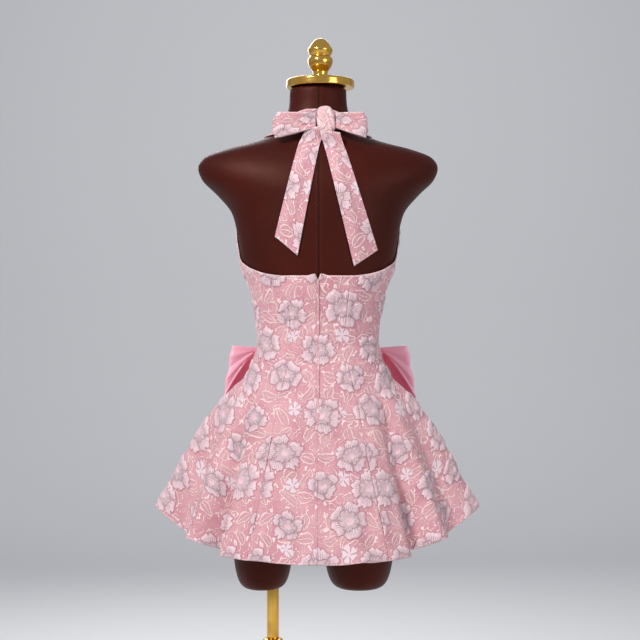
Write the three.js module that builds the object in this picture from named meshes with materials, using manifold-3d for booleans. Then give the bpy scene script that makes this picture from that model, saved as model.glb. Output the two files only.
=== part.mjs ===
// A short halter cocktail dress of raised-flower jacquard on a limbless dress form.
// Millimetres, +Z up. The origin is on the floor under the middle of the base.
// The wearer faces -Y, so +X is the wearer's left. Angles go round from the centre back (+Y)
// over the wearer's left side (+X) to the centre front (-Y).
import * as THREE from "three";
import { mergeVertices } from "three/addons/utils/BufferGeometryUtils.js";
import Module from "manifold-3d";

const wasm = await Module();
wasm.setup();

const { Vector3 } = THREE;
const DEG = Math.PI / 180;

// Driving dimensions
const WAIST = 1050;
const NECK_TOP = 1486;
const CROTCH = 772;
const SHOULDER_LOW = 1290;
const SHOULDER_HIGH = 1440;
const JACQUARD = 1.6;
const SATIN = 1.2;
const CLEAR = 1.3;
const SEAM = 0.3;
const SEAM_TRIM = 0.17;
const PUFF = 1.3;
const BRASS_AXIS = -4;
const NECK_CENTRE = -6;
const PLATE_RADIUS = 58;
const PLATE_BOTTOM = 1486.3;
const PLATE_TOP = 1501;
const POLE_X = 76.5;
const POLE_RADIUS = 10.2;
const POLE_REACH = 690;
const TUBE_RADIUS = 13;
const COLLAR_BOTTOM = 528;
const COLLAR_TOP = 552;
const COLLAR_RADIUS = 17;
const BASE_RADIUS = 185;
const BASE_THICK = 18;

// The form's level sections: half width, depth behind and in front of the side line, squareness
const BODY = [
  { z: 772, wide: 112, back: 60, front: 50, power: 2.2 },
  { z: 790, wide: 140, back: 86, front: 66, power: 2.3 },
  { z: 830, wide: 152, back: 106, front: 80, power: 2.3 },
  { z: 885, wide: 152, back: 116, front: 90, power: 2.25 },
  { z: 935, wide: 141, back: 110, front: 94, power: 2.2 },
  { z: 985, wide: 119, back: 92, front: 93, power: 2.2 },
  { z: 1020, wide: 105, back: 79, front: 88, power: 2.2 },
  { z: 1050, wide: 100, back: 74.5, front: 84, power: 2.2 },
  { z: 1092, wide: 102, back: 76, front: 88, power: 2.2 },
  { z: 1120, wide: 107, back: 80, front: 96, power: 2.2 },
  { z: 1147, wide: 113, back: 85, front: 109, power: 2.2 },
  { z: 1191, wide: 129, back: 92, front: 120, power: 2.2 },
  { z: 1228, wide: 135, back: 96, front: 118, power: 2.2 },
  { z: 1271, wide: 145, back: 99, front: 105, power: 2.15 },
  { z: 1305, wide: 172, back: 99, front: 93, power: 2.1 },
  { z: 1330, wide: 197, back: 95, front: 85, power: 2.1 },
  { z: 1350, wide: 204, back: 88, front: 79, power: 2.1 },
  { z: 1366, wide: 195, back: 79, front: 74, power: 2.1 },
  { z: 1380, wide: 162, back: 70, front: 70, power: 2.1 },
  { z: 1392, wide: 115, back: 62, front: 66, power: 2.1 },
  { z: 1404, wide: 82, back: 55, front: 62, power: 2.1 },
  { z: 1425, wide: 60, back: 48, front: 58, power: 2.05 },
  { z: 1460, wide: 49, back: 43, front: 56, power: 2 },
  { z: 1486, wide: 48, back: 43, front: 56, power: 2 },
];

// The two thigh stumps, and how they round off to the bottom
const THIGHS = [
  { x: 93, y: 6, wide: 52, deep: 74 },
  { x: -69, y: 6, wide: 61, deep: 76 },
];
const THIGH_SECTIONS = [
  { z: 850, size: 0.9 },
  { z: 770, size: 1 },
  { z: 705, size: 0.97 },
  { z: 680, size: 0.92 },
  { z: 662, size: 0.85 },
  { z: 650, size: 0.76 },
  { z: 643, size: 0.66 },
  { z: 640, size: 0.5 },
];
const THIGH_POWER = 2.1;
const SOCKET_BOTTOM = 600;
const FORM_COLUMNS = 30;
const THIGH_COLUMNS = 20;
const FORM_ROWS = { torso: 26, shoulders: 15, neck: 2 };

// The skirt's sections by share of the way from waist to hem, and how far its folds have opened
const SKIRT = [
  { share: 0, wide: 100, back: 74.5, front: 84, fold: 0 },
  { share: 0.07, wide: 105.5, back: 80, front: 89.5, fold: 0 },
  { share: 0.16, wide: 115.5, back: 91, front: 98, fold: 0.02 },
  { share: 0.21, wide: 124, back: 98, front: 103, fold: 0.05 },
  { share: 0.26, wide: 139, back: 104, front: 109, fold: 0.09 },
  { share: 0.35, wide: 163, back: 114.5, front: 121, fold: 0.17 },
  { share: 0.5, wide: 193, back: 127, front: 139, fold: 0.34 },
  { share: 0.65, wide: 218, back: 145, front: 156, fold: 0.54 },
  { share: 0.8, wide: 239, back: 164, front: 173, fold: 0.75 },
  { share: 0.9, wide: 254.5, back: 177, front: 183, fold: 0.88 },
  { share: 1, wide: 271.5, back: 190, front: 192, fold: 1 },
];

// The hem in plan, a row for each crest and valley of the folds, and the cloth length there
const HEM_LEFT = [
  { angle: 0, reach: 190, length: 362 },
  { angle: 26, reach: 203, length: 360 },
  { angle: 47, reach: 208, length: 357 },
  { angle: 57.5, reach: 180, length: 344 },
  { angle: 65.5, reach: 233, length: 342 },
  { angle: 74, reach: 223, length: 336 },
  { angle: 86, reach: 272, length: 322 },
  { angle: 99, reach: 236, length: 328 },
  { angle: 109, reach: 248, length: 334 },
  { angle: 121, reach: 192, length: 340 },
  { angle: 136, reach: 219, length: 348 },
  { angle: 153, reach: 176, length: 348 },
  { angle: 180, reach: 192, length: 350 },
];
const HEM_RIGHT = [
  { angle: 0, reach: 190, length: 362 },
  { angle: 24, reach: 202, length: 361 },
  { angle: 44, reach: 206, length: 358 },
  { angle: 54.5, reach: 178, length: 345 },
  { angle: 63, reach: 229, length: 342 },
  { angle: 73, reach: 225, length: 334 },
  { angle: 86, reach: 270, length: 321 },
  { angle: 98, reach: 240, length: 328 },
  { angle: 110, reach: 250, length: 335 },
  { angle: 123, reach: 190, length: 341 },
  { angle: 138, reach: 216, length: 348 },
  { angle: 156, reach: 178, length: 348 },
  { angle: 180, reach: 192, length: 350 },
];

// The top edge: a notch at the zip, level behind, up over the side and in along the halter
const TOP_EDGE = [
  { angle: 0, z: 1158 },
  { angle: 3, z: 1169 },
  { angle: 12, z: 1166 },
  { angle: 33, z: 1166 },
  { angle: 48, z: 1169 },
  { angle: 62, z: 1176 },
  { angle: 74, z: 1186 },
  { angle: 84, z: 1197 },
  { angle: 92, z: 1220 },
  { angle: 99, z: 1248 },
  { angle: 107, z: 1268 },
  { angle: 118, z: 1292 },
  { angle: 128, z: 1326 },
  { angle: 136, z: 1362 },
  { angle: 142, z: 1387.6 },
];

// The neck band's lower and upper edges; its lower edge is the neckline of the front
const BAND = [
  { angle: 0, low: 1416, high: 1444 },
  { angle: 20, low: 1412, high: 1444 },
  { angle: 45, low: 1407, high: 1439 },
  { angle: 70, low: 1402, high: 1429 },
  { angle: 90, low: 1400, high: 1422 },
  { angle: 120, low: 1396, high: 1420 },
  { angle: 142, low: 1388, high: 1420 },
  { angle: 160, low: 1384.5, high: 1418 },
  { angle: 180, low: 1382, high: 1417 },
];
const BAND_FROM = -13;
const BAND_TO = 346;
const BAND_COLUMNS = 34;
const BAND_ROWS = 4;

// Seam angles, and the columns of each panel between them
const PANELS = [
  { name: "back", columns: [0, 3, 8, 13, 18, 23, 28, 33], bodice: 8 },
  {
    name: "side_back",
    columns: [33, 38, 43, 48, 52, 55, 58, 61.5, 65, 69, 73.5, 78, 82, 86, 90],
    bodice: 8,
  },
  {
    name: "side_front",
    columns: [90, 94.5, 99, 104, 109, 113, 117, 121, 126, 131, 136, 141.5, 147],
    bodice: 16,
  },
];
const FRONT_COLUMNS = [147, 153, 159, 166, 173, 180];
const FRONT_BODICE = 15;
const SKIRT_ROWS = 17;
const HIP_ROWS = 7;

// The concealed zip
const ZIP_WIDTH = 4;
const ZIP_THICK = 1;
const ZIP_PROUD = 0.75;
const ZIP_END = 0.37;

// The tie behind the neck: knot, loops and the two tails, which lie on the back
const NECK_KNOT = { x: -13, y: 64.8, z: 1422, wide: 30, deep: 22, tall: 48, lean: 4 };
const NECK_LOOP = {
  reach: { left: 70, right: 51 },
  rootGap: 1.7,
  depth: 11,
  inner: 22,
  outer: 42,
  droop: 8,
  skew: 4,
  bend: 4,
  gather: 1.2,
  swell: 0.8,
  tuck: 0,
  rounded: 0.09,
};
const LOOP_COLUMNS = 14;
const LOOP_ROWS = 5;
const GATHERS = 5;
const NECK_TAILS = [
  {
    name: "neck_tail_left",
    topLeft: { x: 28, z: 1399 },
    topRight: { x: -6.5, z: 1401 },
    endLeft: { x: 70, z: 1229 },
    endRight: { x: 33, z: 1198 },
  },
  {
    name: "neck_tail_right",
    topLeft: { x: -7, z: 1394 },
    topRight: { x: -40, z: 1390 },
    endLeft: { x: -59, z: 1181 },
    endRight: { x: -98, z: 1208 },
  },
];
const TAIL_RIPPLE = 2.5;
const TAIL_CLEAR = 0.8;
const TAIL_COLUMNS = 4;
const TAIL_ROWS = 13;
const KNOT_COLUMNS = 16;
const KNOT_ROWS = 10;

// The satin bow in front of the waist
const WAIST_KNOT = { x: 0, y: -116.4, z: 1003, wide: 44, deep: 24, tall: 60, lean: 0 };
const WAIST_LOOP = {
  reach: { left: 136, right: 142 },
  rootGap: -0.3,
  depth: 15,
  inner: 48,
  outer: 92,
  droop: 2,
  skew: 16,
  bend: 32,
  gather: 3,
  swell: 0.5,
  tuck: 1.05,
  rounded: 0,
};
const TUCK_RUN = 0.36;

// The turned brass: radius and height above the piece's own seat
const PLATE_PROFILE = [
  { radius: 0, up: 0 },
  { radius: PLATE_RADIUS - 3, up: 0 },
  { radius: PLATE_RADIUS - 0.8, up: 0.8 },
  { radius: PLATE_RADIUS, up: 3 },
  { radius: PLATE_RADIUS, up: 12.2 },
  { radius: PLATE_RADIUS - 2, up: PLATE_TOP - PLATE_BOTTOM },
  { radius: 0, up: PLATE_TOP - PLATE_BOTTOM },
];
const FINIAL_PROFILE = [
  { radius: 0, up: 0 },
  { radius: 15, up: 0 },
  { radius: 16.5, up: 1.5 },
  { radius: 16, up: 4 },
  { radius: 12.4, up: 7 },
  { radius: 12.8, up: 13 },
  { radius: 16, up: 18 },
  { radius: 19.5, up: 24 },
  { radius: 21.3, up: 32 },
  { radius: 20, up: 37 },
  { radius: 17.3, up: 40.5 },
  { radius: 19.2, up: 44 },
  { radius: 21.3, up: 50.5 },
  { radius: 18.4, up: 56 },
  { radius: 13.8, up: 63 },
  { radius: 8, up: 68.5 },
  { radius: 0, up: 71 },
];
const BASE_PROFILE = [
  { radius: 0, up: 0 },
  { radius: BASE_RADIUS, up: 0 },
  { radius: BASE_RADIUS, up: 8 },
  { radius: BASE_RADIUS - 3, up: 12 },
  { radius: BASE_RADIUS - 12, up: BASE_THICK },
  { radius: 0, up: BASE_THICK },
];
const PLATE_COLUMNS = 36;
const ROD_COLUMNS = 18;
const BASE_COLUMNS = 40;

// The flower repeat on the flat cloth
const FLOWER_PITCH = 92;
const FLOWER_ROW = 60;
const FLOWER_RING = 13;
const FLOWER_SPREAD = 7;
const FLOWER_ROWS_EACH_WAY = 6;
const FLOWER_COLUMNS_EACH_WAY = 4;
const FLOWER_SHIFT = {
  front: [0, 0],
  back_left: [-14, 22],
  back_right: [23, -18],
  side_back_left: [31, -27],
  side_back_right: [-22, 38],
  side_front_left: [12, 9],
  side_front_right: [-34, -12],
};

const COLOURS = {
  jacquard: new THREE.MeshStandardMaterial({ color: 0xdc9fa8, roughness: 0.75, metalness: 0 }),
  satin: new THREE.MeshStandardMaterial({ color: 0xf0a0ae, roughness: 0.32, metalness: 0 }),
  form: new THREE.MeshStandardMaterial({ color: 0x3c1712, roughness: 0.5, metalness: 0 }),
  brass: new THREE.MeshStandardMaterial({ color: 0xc89a3c, roughness: 0.2, metalness: 1 }),
};

const dress = new THREE.Group();

// Adds one named piece to the dress
function piece(name, geometry, material) {
  const mesh = new THREE.Mesh(geometry, material);
  mesh.name = name;
  dress.add(mesh);
  return mesh;
}

// A smooth curve with no overshoot through one column of a table
function track(rows, key, column, flatEnds = false) {
  const xs = rows.map((row) => row[key]);
  const ys = rows.map((row) => row[column]);
  const last = xs.length - 1;
  const slope = (i) => (ys[i + 1] - ys[i]) / (xs[i + 1] - xs[i]);
  const tangents = xs.map((_, i) => {
    if (i === 0) return flatEnds ? 0 : slope(0);
    if (i === last) return flatEnds ? 0 : slope(last - 1);
    const before = slope(i - 1);
    const after = slope(i);
    return before * after <= 0 ? 0 : (2 * before * after) / (before + after);
  });
  return (x) => {
    let i = 0;
    while (i < last - 1 && x > xs[i + 1]) i += 1;
    const step = xs[i + 1] - xs[i];
    const t = THREE.MathUtils.clamp((x - xs[i]) / step, 0, 1);
    const rise = t * t * (3 - 2 * t);
    const lead = t * (1 - t) * (1 - t);
    const trail = t * t * (t - 1);
    return ys[i] + (ys[i + 1] - ys[i]) * rise + step * (tangents[i] * lead + tangents[i + 1] * trail);
  };
}

// Half of the garment uses its own table: the wearer's right mirrors the angle
const sided = (left, right) => (angle) => (angle <= 180 ? left(angle) : right(360 - angle));
const mirrored = (half) => sided(half, half);

const bodyColumn = Object.fromEntries(
  ["wide", "back", "front", "power"].map((name) => [name, track(BODY, "z", name)]),
);
const skirtColumn = Object.fromEntries(
  ["wide", "back", "front", "fold"].map((name) => [name, track(SKIRT, "share", name)]),
);
const hemReach = sided(
  track(HEM_LEFT, "angle", "reach", true),
  track(HEM_RIGHT, "angle", "reach", true),
);
const clothLength = sided(
  track(HEM_LEFT, "angle", "length", true),
  track(HEM_RIGHT, "angle", "length", true),
);
const bandLow = mirrored(track(BAND, "angle", "low", true));
const bandHigh = mirrored(track(BAND, "angle", "high", true));
const HALTER_ANGLE = TOP_EDGE.at(-1).angle;
const armholeEdge = track(TOP_EDGE, "angle", "z");
const topEdge = mirrored((angle) =>
  angle >= HALTER_ANGLE ? bandLow(angle) - SEAM : armholeEdge(angle),
);

// Distance from the axis to a rounded section at an angle
function sectionReach(angle, { wide, back, front, power }) {
  const side = Math.abs(Math.sin(angle * DEG) / wide);
  const depth = Math.abs(Math.cos(angle * DEG) / (Math.cos(angle * DEG) > 0 ? back : front));
  return (side ** power + depth ** power) ** (-1 / power);
}

const polar = (angle, reach, z) =>
  new Vector3(reach * Math.sin(angle * DEG), reach * Math.cos(angle * DEG), z);

function bodySection(z) {
  return {
    wide: bodyColumn.wide(z),
    back: bodyColumn.back(z),
    front: bodyColumn.front(z),
    power: bodyColumn.power(z),
  };
}

function skirtSection(share) {
  return {
    wide: skirtColumn.wide(share),
    back: skirtColumn.back(share),
    front: skirtColumn.front(share),
    power: 2.2 - 0.2 * share,
  };
}

const bodyPoint = (angle, z) => polar(angle, sectionReach(angle, bodySection(z)), z);

// The skirt hangs at the cloth's own length, so a crest that reaches out further ends higher
function skirtPoint(angle, share) {
  const reachAtHem = hemReach(angle);
  const plain = sectionReach(angle, skirtSection(share));
  const opened = skirtColumn.fold(share) * (reachAtHem - sectionReach(angle, skirtSection(1)));
  const spread = reachAtHem - sectionReach(angle, skirtSection(0));
  const drop = Math.sqrt(clothLength(angle) ** 2 - spread ** 2);
  return polar(angle, plain + opened, WAIST - share * drop);
}

// Level -1 is the top edge, 0 the waist and 1 the hem
function dressPoint(angle, level) {
  if (level > 0) return skirtPoint(angle, level);
  return bodyPoint(angle, WAIST - level * (topEdge(angle) - WAIST));
}

// Where the form's back surface lies behind a point given by its width and height
function backPoint(x, z) {
  const { wide, back, power } = bodySection(z);
  return new Vector3(x, back * (1 - Math.abs(x / wide) ** power) ** (1 / power), z);
}

// Outward normal and the direction across, from close neighbours on the surface
function surfaceFrame(surface, u, v, du, dv) {
  const across = surface(u + du, v).sub(surface(u - du, v)).normalize();
  const along = surface(u, v + dv).sub(surface(u, v - dv)).normalize();
  return { across, normal: new Vector3().crossVectors(across, along).normalize() };
}

function geometryFrom(points, triangles) {
  const geometry = new THREE.BufferGeometry();
  geometry.setAttribute(
    "position",
    new THREE.Float32BufferAttribute(
      points.flatMap((p) => [p.x, p.y, p.z]),
      3,
    ),
  );
  geometry.setIndex(triangles.flat());
  return geometry;
}

// Turns every face round where the body came out inside out
function facingOut(points, triangles) {
  const volume = triangles.reduce((sum, [a, b, c]) => {
    return sum + points[a].dot(new Vector3().crossVectors(points[b], points[c]));
  }, 0);
  const faces = volume < 0 ? triangles.map(([a, b, c]) => [a, c, b]) : triangles;
  return geometryFrom(points, faces);
}

// A closed cloth wall over a surface. The outer points carry the relief and follow every row;
// the plain inner side follows only the rows listed in inside. The first and last column are
// trimmed by half the seam gap.
function clothWall({ across, along, inside, surface, relief, gap, thick, trim, du, dv, flip }) {
  const width = across.length;
  const turn = flip ? -1 : 1;
  const place = (i, j, out) => {
    const frame = surfaceFrame(surface, across[i], along[j], du, dv);
    const point = surface(across[i], along[j]).addScaledVector(frame.normal, turn * out);
    if (i === 0) point.addScaledVector(frame.across, trim);
    if (i === width - 1) point.addScaledVector(frame.across, -trim);
    return point;
  };
  const columns = across.map((_, i) => i);
  const outer = along.map((_, j) => columns.map((i) => place(i, j, gap + thick + relief(i, j))));
  const inner = inside.map((j) => columns.map((i) => place(i, j, gap)));
  const points = [...outer.flat(), ...inner.flat()];
  const out = (i, j) => j * width + i;
  const back = (i, k) => (along.length + k) * width + i;
  const triangles = [];
  const quad = (a, b, c, d) => triangles.push([a, b, c], [a, c, d]);
  for (let i = 0; i < width - 1; i += 1) {
    for (let j = 0; j < along.length - 1; j += 1) {
      quad(out(i, j), out(i + 1, j), out(i + 1, j + 1), out(i, j + 1));
    }
    for (let k = 0; k < inside.length - 1; k += 1) {
      quad(back(i + 1, k), back(i, k), back(i, k + 1), back(i + 1, k + 1));
    }
    const bottom = along.length - 1;
    const last = inside.length - 1;
    quad(out(i + 1, 0), out(i, 0), back(i, 0), back(i + 1, 0));
    quad(out(i, bottom), out(i + 1, bottom), back(i + 1, last), back(i, last));
  }
  const end = width - 1;
  for (let k = 0; k < inside.length - 1; k += 1) {
    for (let j = inside[k]; j < inside[k + 1]; j += 1) {
      triangles.push([out(0, j), out(0, j + 1), back(0, k)]);
      triangles.push([out(end, j + 1), out(end, j), back(end, k)]);
    }
    triangles.push([out(0, inside[k + 1]), back(0, k + 1), back(0, k)]);
    triangles.push([out(end, inside[k + 1]), back(end, k), back(end, k + 1)]);
  }
  return facingOut(points, triangles);
}

// A closed body through level rings of equal count, with its ends closed to a middle point
function loft(rings) {
  const count = rings[0].length;
  const points = rings.flat();
  const middle = (ring) =>
    ring.reduce((sum, p) => sum.add(p), new Vector3()).multiplyScalar(1 / ring.length);
  const first = points.push(middle(rings[0])) - 1;
  const final = points.push(middle(rings.at(-1))) - 1;
  const triangles = [];
  for (let i = 0; i < count; i += 1) {
    const next = (i + 1) % count;
    for (let j = 0; j < rings.length - 1; j += 1) {
      const [a, b] = [j * count + i, j * count + next];
      const [c, d] = [(j + 1) * count + next, (j + 1) * count + i];
      triangles.push([a, b, c], [a, c, d]);
    }
    const top = (rings.length - 1) * count;
    triangles.push([first, next, i], [final, top + i, top + next]);
  }
  return facingOut(points, triangles);
}

const steps = (from, to, count) =>
  Array.from({ length: count + 1 }, (_, i) => from + ((to - from) * i) / count);

function lathe(profile, seat, columns) {
  const points = profile.map(({ radius, up }) => new THREE.Vector2(radius, seat + up));
  return new THREE.LatheGeometry(points, columns).rotateX(Math.PI / 2);
}

// Solids for joining and cutting
function toSolid(geometry) {
  const plain = geometry.clone();
  plain.deleteAttribute("normal");
  plain.deleteAttribute("uv");
  const merged = mergeVertices(plain, 1e-3);
  return new wasm.Manifold(
    new wasm.Mesh({
      numProp: 3,
      vertProperties: merged.attributes.position.array,
      triVerts: new Uint32Array(merged.index.array),
    }),
  );
}

function fromSolid(solid) {
  const mesh = solid.getMesh();
  const geometry = new THREE.BufferGeometry();
  geometry.setAttribute("position", new THREE.BufferAttribute(mesh.vertProperties, 3));
  geometry.setIndex(new THREE.BufferAttribute(mesh.triVerts, 1));
  return geometry;
}

// The form: torso with shoulder caps, two thigh stumps, and the socket for the pole
function makeForm() {
  const turns = steps(0, 360, FORM_COLUMNS).slice(0, -1);
  const levels = [
    ...steps(CROTCH, SHOULDER_LOW, FORM_ROWS.torso),
    ...steps(SHOULDER_LOW, SHOULDER_HIGH, FORM_ROWS.shoulders).slice(1),
    ...steps(SHOULDER_HIGH, NECK_TOP, FORM_ROWS.neck).slice(1),
  ];
  let body = toSolid(loft(levels.map((z) => turns.map((angle) => bodyPoint(angle, z)))));
  const around = steps(0, 360, THIGH_COLUMNS).slice(0, -1);
  for (const { x, y, wide, deep } of THIGHS) {
    const rings = THIGH_SECTIONS.map(({ z, size }) => {
      const across = wide * size;
      const through = deep * size;
      const ring = { wide: across, back: through, front: through, power: THIGH_POWER };
      const centre = new Vector3(x, y, 0);
      return around.map((angle) => polar(angle, sectionReach(angle, ring), z).add(centre));
    });
    body = body.add(toSolid(loft(rings)));
  }
  const radius = POLE_RADIUS + SEAM;
  const top = POLE_REACH + SEAM;
  const tall = top - SOCKET_BOTTOM;
  const socket = new THREE.CylinderGeometry(radius, radius, tall, THIGH_COLUMNS);
  socket.rotateX(Math.PI / 2);
  socket.translate(POLE_X, 0, (top + SOCKET_BOTTOM) / 2);
  piece("form_body", fromSolid(body.subtract(toSolid(socket))), COLOURS.form);
}

// Neck plate with a broad rim, finial with two bulges, pole, collar, lower tube and base
function makeMetal() {
  const plate = lathe(PLATE_PROFILE, PLATE_BOTTOM, PLATE_COLUMNS);
  plate.translate(BRASS_AXIS, NECK_CENTRE, 0);
  piece("neck_plate", plate, COLOURS.brass);

  const finial = lathe(FINIAL_PROFILE, PLATE_TOP + SEAM, ROD_COLUMNS);
  finial.translate(BRASS_AXIS, NECK_CENTRE, 0);
  piece("finial", finial, COLOURS.brass);

  const rod = (radius, low, high) => {
    const tall = high - low;
    const profile = [
      { radius: 0, up: 0 },
      { radius, up: 0 },
      { radius, up: tall },
      { radius: 0, up: tall },
    ];
    return lathe(profile, low, ROD_COLUMNS).translate(POLE_X, 0, 0);
  };
  piece("pole", rod(POLE_RADIUS, COLLAR_TOP + SEAM, POLE_REACH), COLOURS.brass);
  piece("pole_collar", rod(COLLAR_RADIUS, COLLAR_BOTTOM + SEAM, COLLAR_TOP), COLOURS.brass);
  piece("pole_tube", rod(TUBE_RADIUS, BASE_THICK + SEAM, COLLAR_BOTTOM), COLOURS.brass);
  piece("base", lathe(BASE_PROFILE, 0, BASE_COLUMNS), COLOURS.brass);
}

// Height of the raised flowers at each outer point of a panel, by its place on the flat cloth
function flowerRelief(columns, levels, [shiftAcross, shiftDown]) {
  const middle = Math.floor(columns.length / 2);
  const flat = levels.map((level) => {
    const row = columns.map((angle) => dressPoint(angle, level));
    const run = [0];
    for (let i = 1; i < row.length; i += 1) run.push(run[i - 1] + row[i].distanceTo(row[i - 1]));
    return columns.map((angle, i) => ({
      u: run[i] - run[middle] + shiftAcross,
      v: level * (level > 0 ? clothLength(angle) : topEdge(angle) - WAIST) + shiftDown,
    }));
  });
  const points = flat.flat();
  const centres = [];
  for (let k = -FLOWER_ROWS_EACH_WAY; k <= FLOWER_ROWS_EACH_WAY; k += 1) {
    for (let m = -FLOWER_COLUMNS_EACH_WAY; m <= FLOWER_COLUMNS_EACH_WAY; m += 1) {
      const u = (m + (k % 2 === 0 ? 0 : 0.5)) * FLOWER_PITCH;
      const v = k * FLOWER_ROW;
      const near = points.reduce((best, p) =>
        Math.hypot(p.u - u, p.v - v) < Math.hypot(best.u - u, best.v - v) ? p : best,
      );
      if (Math.hypot(near.u - u, near.v - v) < FLOWER_RING) centres.push(near);
    }
  }
  const lastRow = levels.length - 1;
  const lastColumn = columns.length - 1;
  return (i, j) => {
    if (i === 0 || j === 0 || i === lastColumn || j === lastRow) return 0;
    const here = flat[j][i];
    const puffs = centres.map((c) => {
      const away = Math.hypot(here.u - c.u, here.v - c.v);
      return Math.exp(-(((away - FLOWER_RING) / FLOWER_SPREAD) ** 2));
    });
    return PUFF * Math.max(0, ...puffs);
  };
}

// The plain inner side of a panel follows every row down to the hips, then every third
function insideRows(bodiceRows) {
  const hips = bodiceRows + HIP_ROWS;
  const last = bodiceRows + SKIRT_ROWS;
  const rows = steps(0, last, last);
  return rows.filter((j) => j <= hips || (j - hips) % 3 === 0 || j === last);
}

const noRelief = () => 0;

function makePanel(name, columns, bodiceRows) {
  const levels = [...steps(-1, 0, bodiceRows).slice(0, -1), ...steps(0, 1, SKIRT_ROWS)];
  const wall = clothWall({
    across: columns,
    along: levels,
    inside: insideRows(bodiceRows),
    surface: dressPoint,
    relief: flowerRelief(columns, levels, FLOWER_SHIFT[name]),
    gap: CLEAR,
    thick: JACQUARD,
    trim: SEAM_TRIM,
    du: 0.05,
    dv: 0.0005,
  });
  piece(name, wall, COLOURS.jacquard);
}

function makePanels() {
  const fold = FRONT_COLUMNS.at(-1);
  const mirroredFront = FRONT_COLUMNS.slice(0, -1).reverse();
  const acrossFront = [...FRONT_COLUMNS, ...mirroredFront.map((angle) => 2 * fold - angle)];
  makePanel("front", acrossFront, FRONT_BODICE);
  for (const { name, columns, bodice } of PANELS) {
    makePanel(name + "_left", columns, bodice);
    makePanel(name + "_right", [...columns].reverse().map((angle) => 360 - angle), bodice);
  }
}

// A plain strip of cloth with as many points inside as outside
function makeStrip(name, { columns, rows, surface, gap, thick, flip, material }) {
  const wall = clothWall({
    across: columns,
    along: rows,
    inside: rows.map((_, j) => j),
    surface,
    relief: noRelief,
    gap,
    thick,
    trim: 0,
    du: (columns.at(-1) - columns[0]) / 2000,
    dv: (rows.at(-1) - rows[0]) / 2000,
    flip,
  });
  piece(name, wall, material);
}

// The halter band lies round the neck, and its ends meet behind the knot
function makeNeckBand() {
  const surface = (angle, down) => {
    const at = (angle + 360) % 360;
    return bodyPoint(at, bandHigh(at) + (bandLow(at) - bandHigh(at)) * down);
  };
  makeStrip("neck_band", {
    columns: steps(BAND_FROM, BAND_TO, BAND_COLUMNS),
    rows: steps(0, 1, BAND_ROWS),
    surface,
    gap: CLEAR,
    thick: JACQUARD,
    material: COLOURS.jacquard,
  });
}

// The concealed zip, closed: a narrow ridge over the centre-back seam
function makeZip() {
  const levels = [...steps(-1, 0, PANELS[0].bodice).slice(0, -1), ...steps(0, 1, SKIRT_ROWS)];
  const surface = (x, level) => {
    const angle = x / dressPoint(0, level).y / DEG;
    return dressPoint((angle + 360) % 360, level);
  };
  makeStrip("zip", {
    columns: steps(-ZIP_WIDTH / 2, ZIP_WIDTH / 2, 2),
    rows: levels.filter((level) => level <= ZIP_END),
    surface,
    gap: CLEAR + JACQUARD + ZIP_PROUD,
    thick: ZIP_THICK,
    material: COLOURS.jacquard,
  });
}

// A bow loop: a band led out from the knot, round a soft turn and back to it. Where it is
// tucked, the lower edge of the layer behind climbs from the outer corner up to the knot.
function loopSurface({ root, side, reach, depth, inner, outer, swell, ...shape }) {
  return (way, down) => {
    const out = Math.sin(Math.PI * way);
    const layer = Math.cos(Math.PI * way);
    const tall = inner + (outer - inner) * Math.max(out, 0) ** swell;
    const climb = layer > 0 ? THREE.MathUtils.clamp((1 - out) / TUCK_RUN, 0, 1) : 0;
    const kept = 1 - shape.tuck * climb * (0.6 + 0.4 * out);
    const pleats = shape.gather * kept * (1 - out) * Math.cos(GATHERS * Math.PI * down);
    const bulge = 1 - shape.rounded * (2 * down) ** 2;
    return new Vector3(
      root.x + side * (reach * bulge + shape.skew * down) * out,
      root.y + layer * depth * (0.4 + 0.6 * out) + shape.bend * out * out + pleats,
      root.z - shape.droop * out + tall * (0.5 - (down + 0.5) * kept),
    );
  };
}

function makeLoops(name, knot, loop, thick, material) {
  for (const [end, side] of [["left", 1], ["right", -1]]) {
    const root = { x: knot.x + side * (knot.wide / 2 + loop.rootGap), y: knot.y, z: knot.z };
    makeStrip(name + end, {
      columns: steps(0, 1, LOOP_COLUMNS),
      rows: steps(-0.5, 0.5, LOOP_ROWS),
      surface: loopSurface({ ...loop, root, side, reach: loop.reach[end] }),
      gap: 0,
      thick,
      flip: side < 0,
      material,
    });
  }
}

// A knot: a plump rounded wrap that leans to one side
function makeKnot(name, { x, y, z, wide, deep, tall, lean }, material) {
  const knot = new THREE.SphereGeometry(1, KNOT_COLUMNS, KNOT_ROWS);
  const position = knot.getAttribute("position");
  for (let i = 0; i < position.count; i += 1) {
    const [a, b, c] = [position.getX(i), position.getZ(i), position.getY(i)];
    const fill = 1 / Math.cbrt(Math.abs(a) ** 3 + Math.abs(b) ** 3 + Math.abs(c) ** 3);
    const across = (a * fill * wide) / 2 + lean * c;
    position.setXYZ(i, x + across, y - (b * fill * deep) / 2, z + (c * fill * tall) / 2);
  }
  piece(name, knot, material);
}

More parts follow.
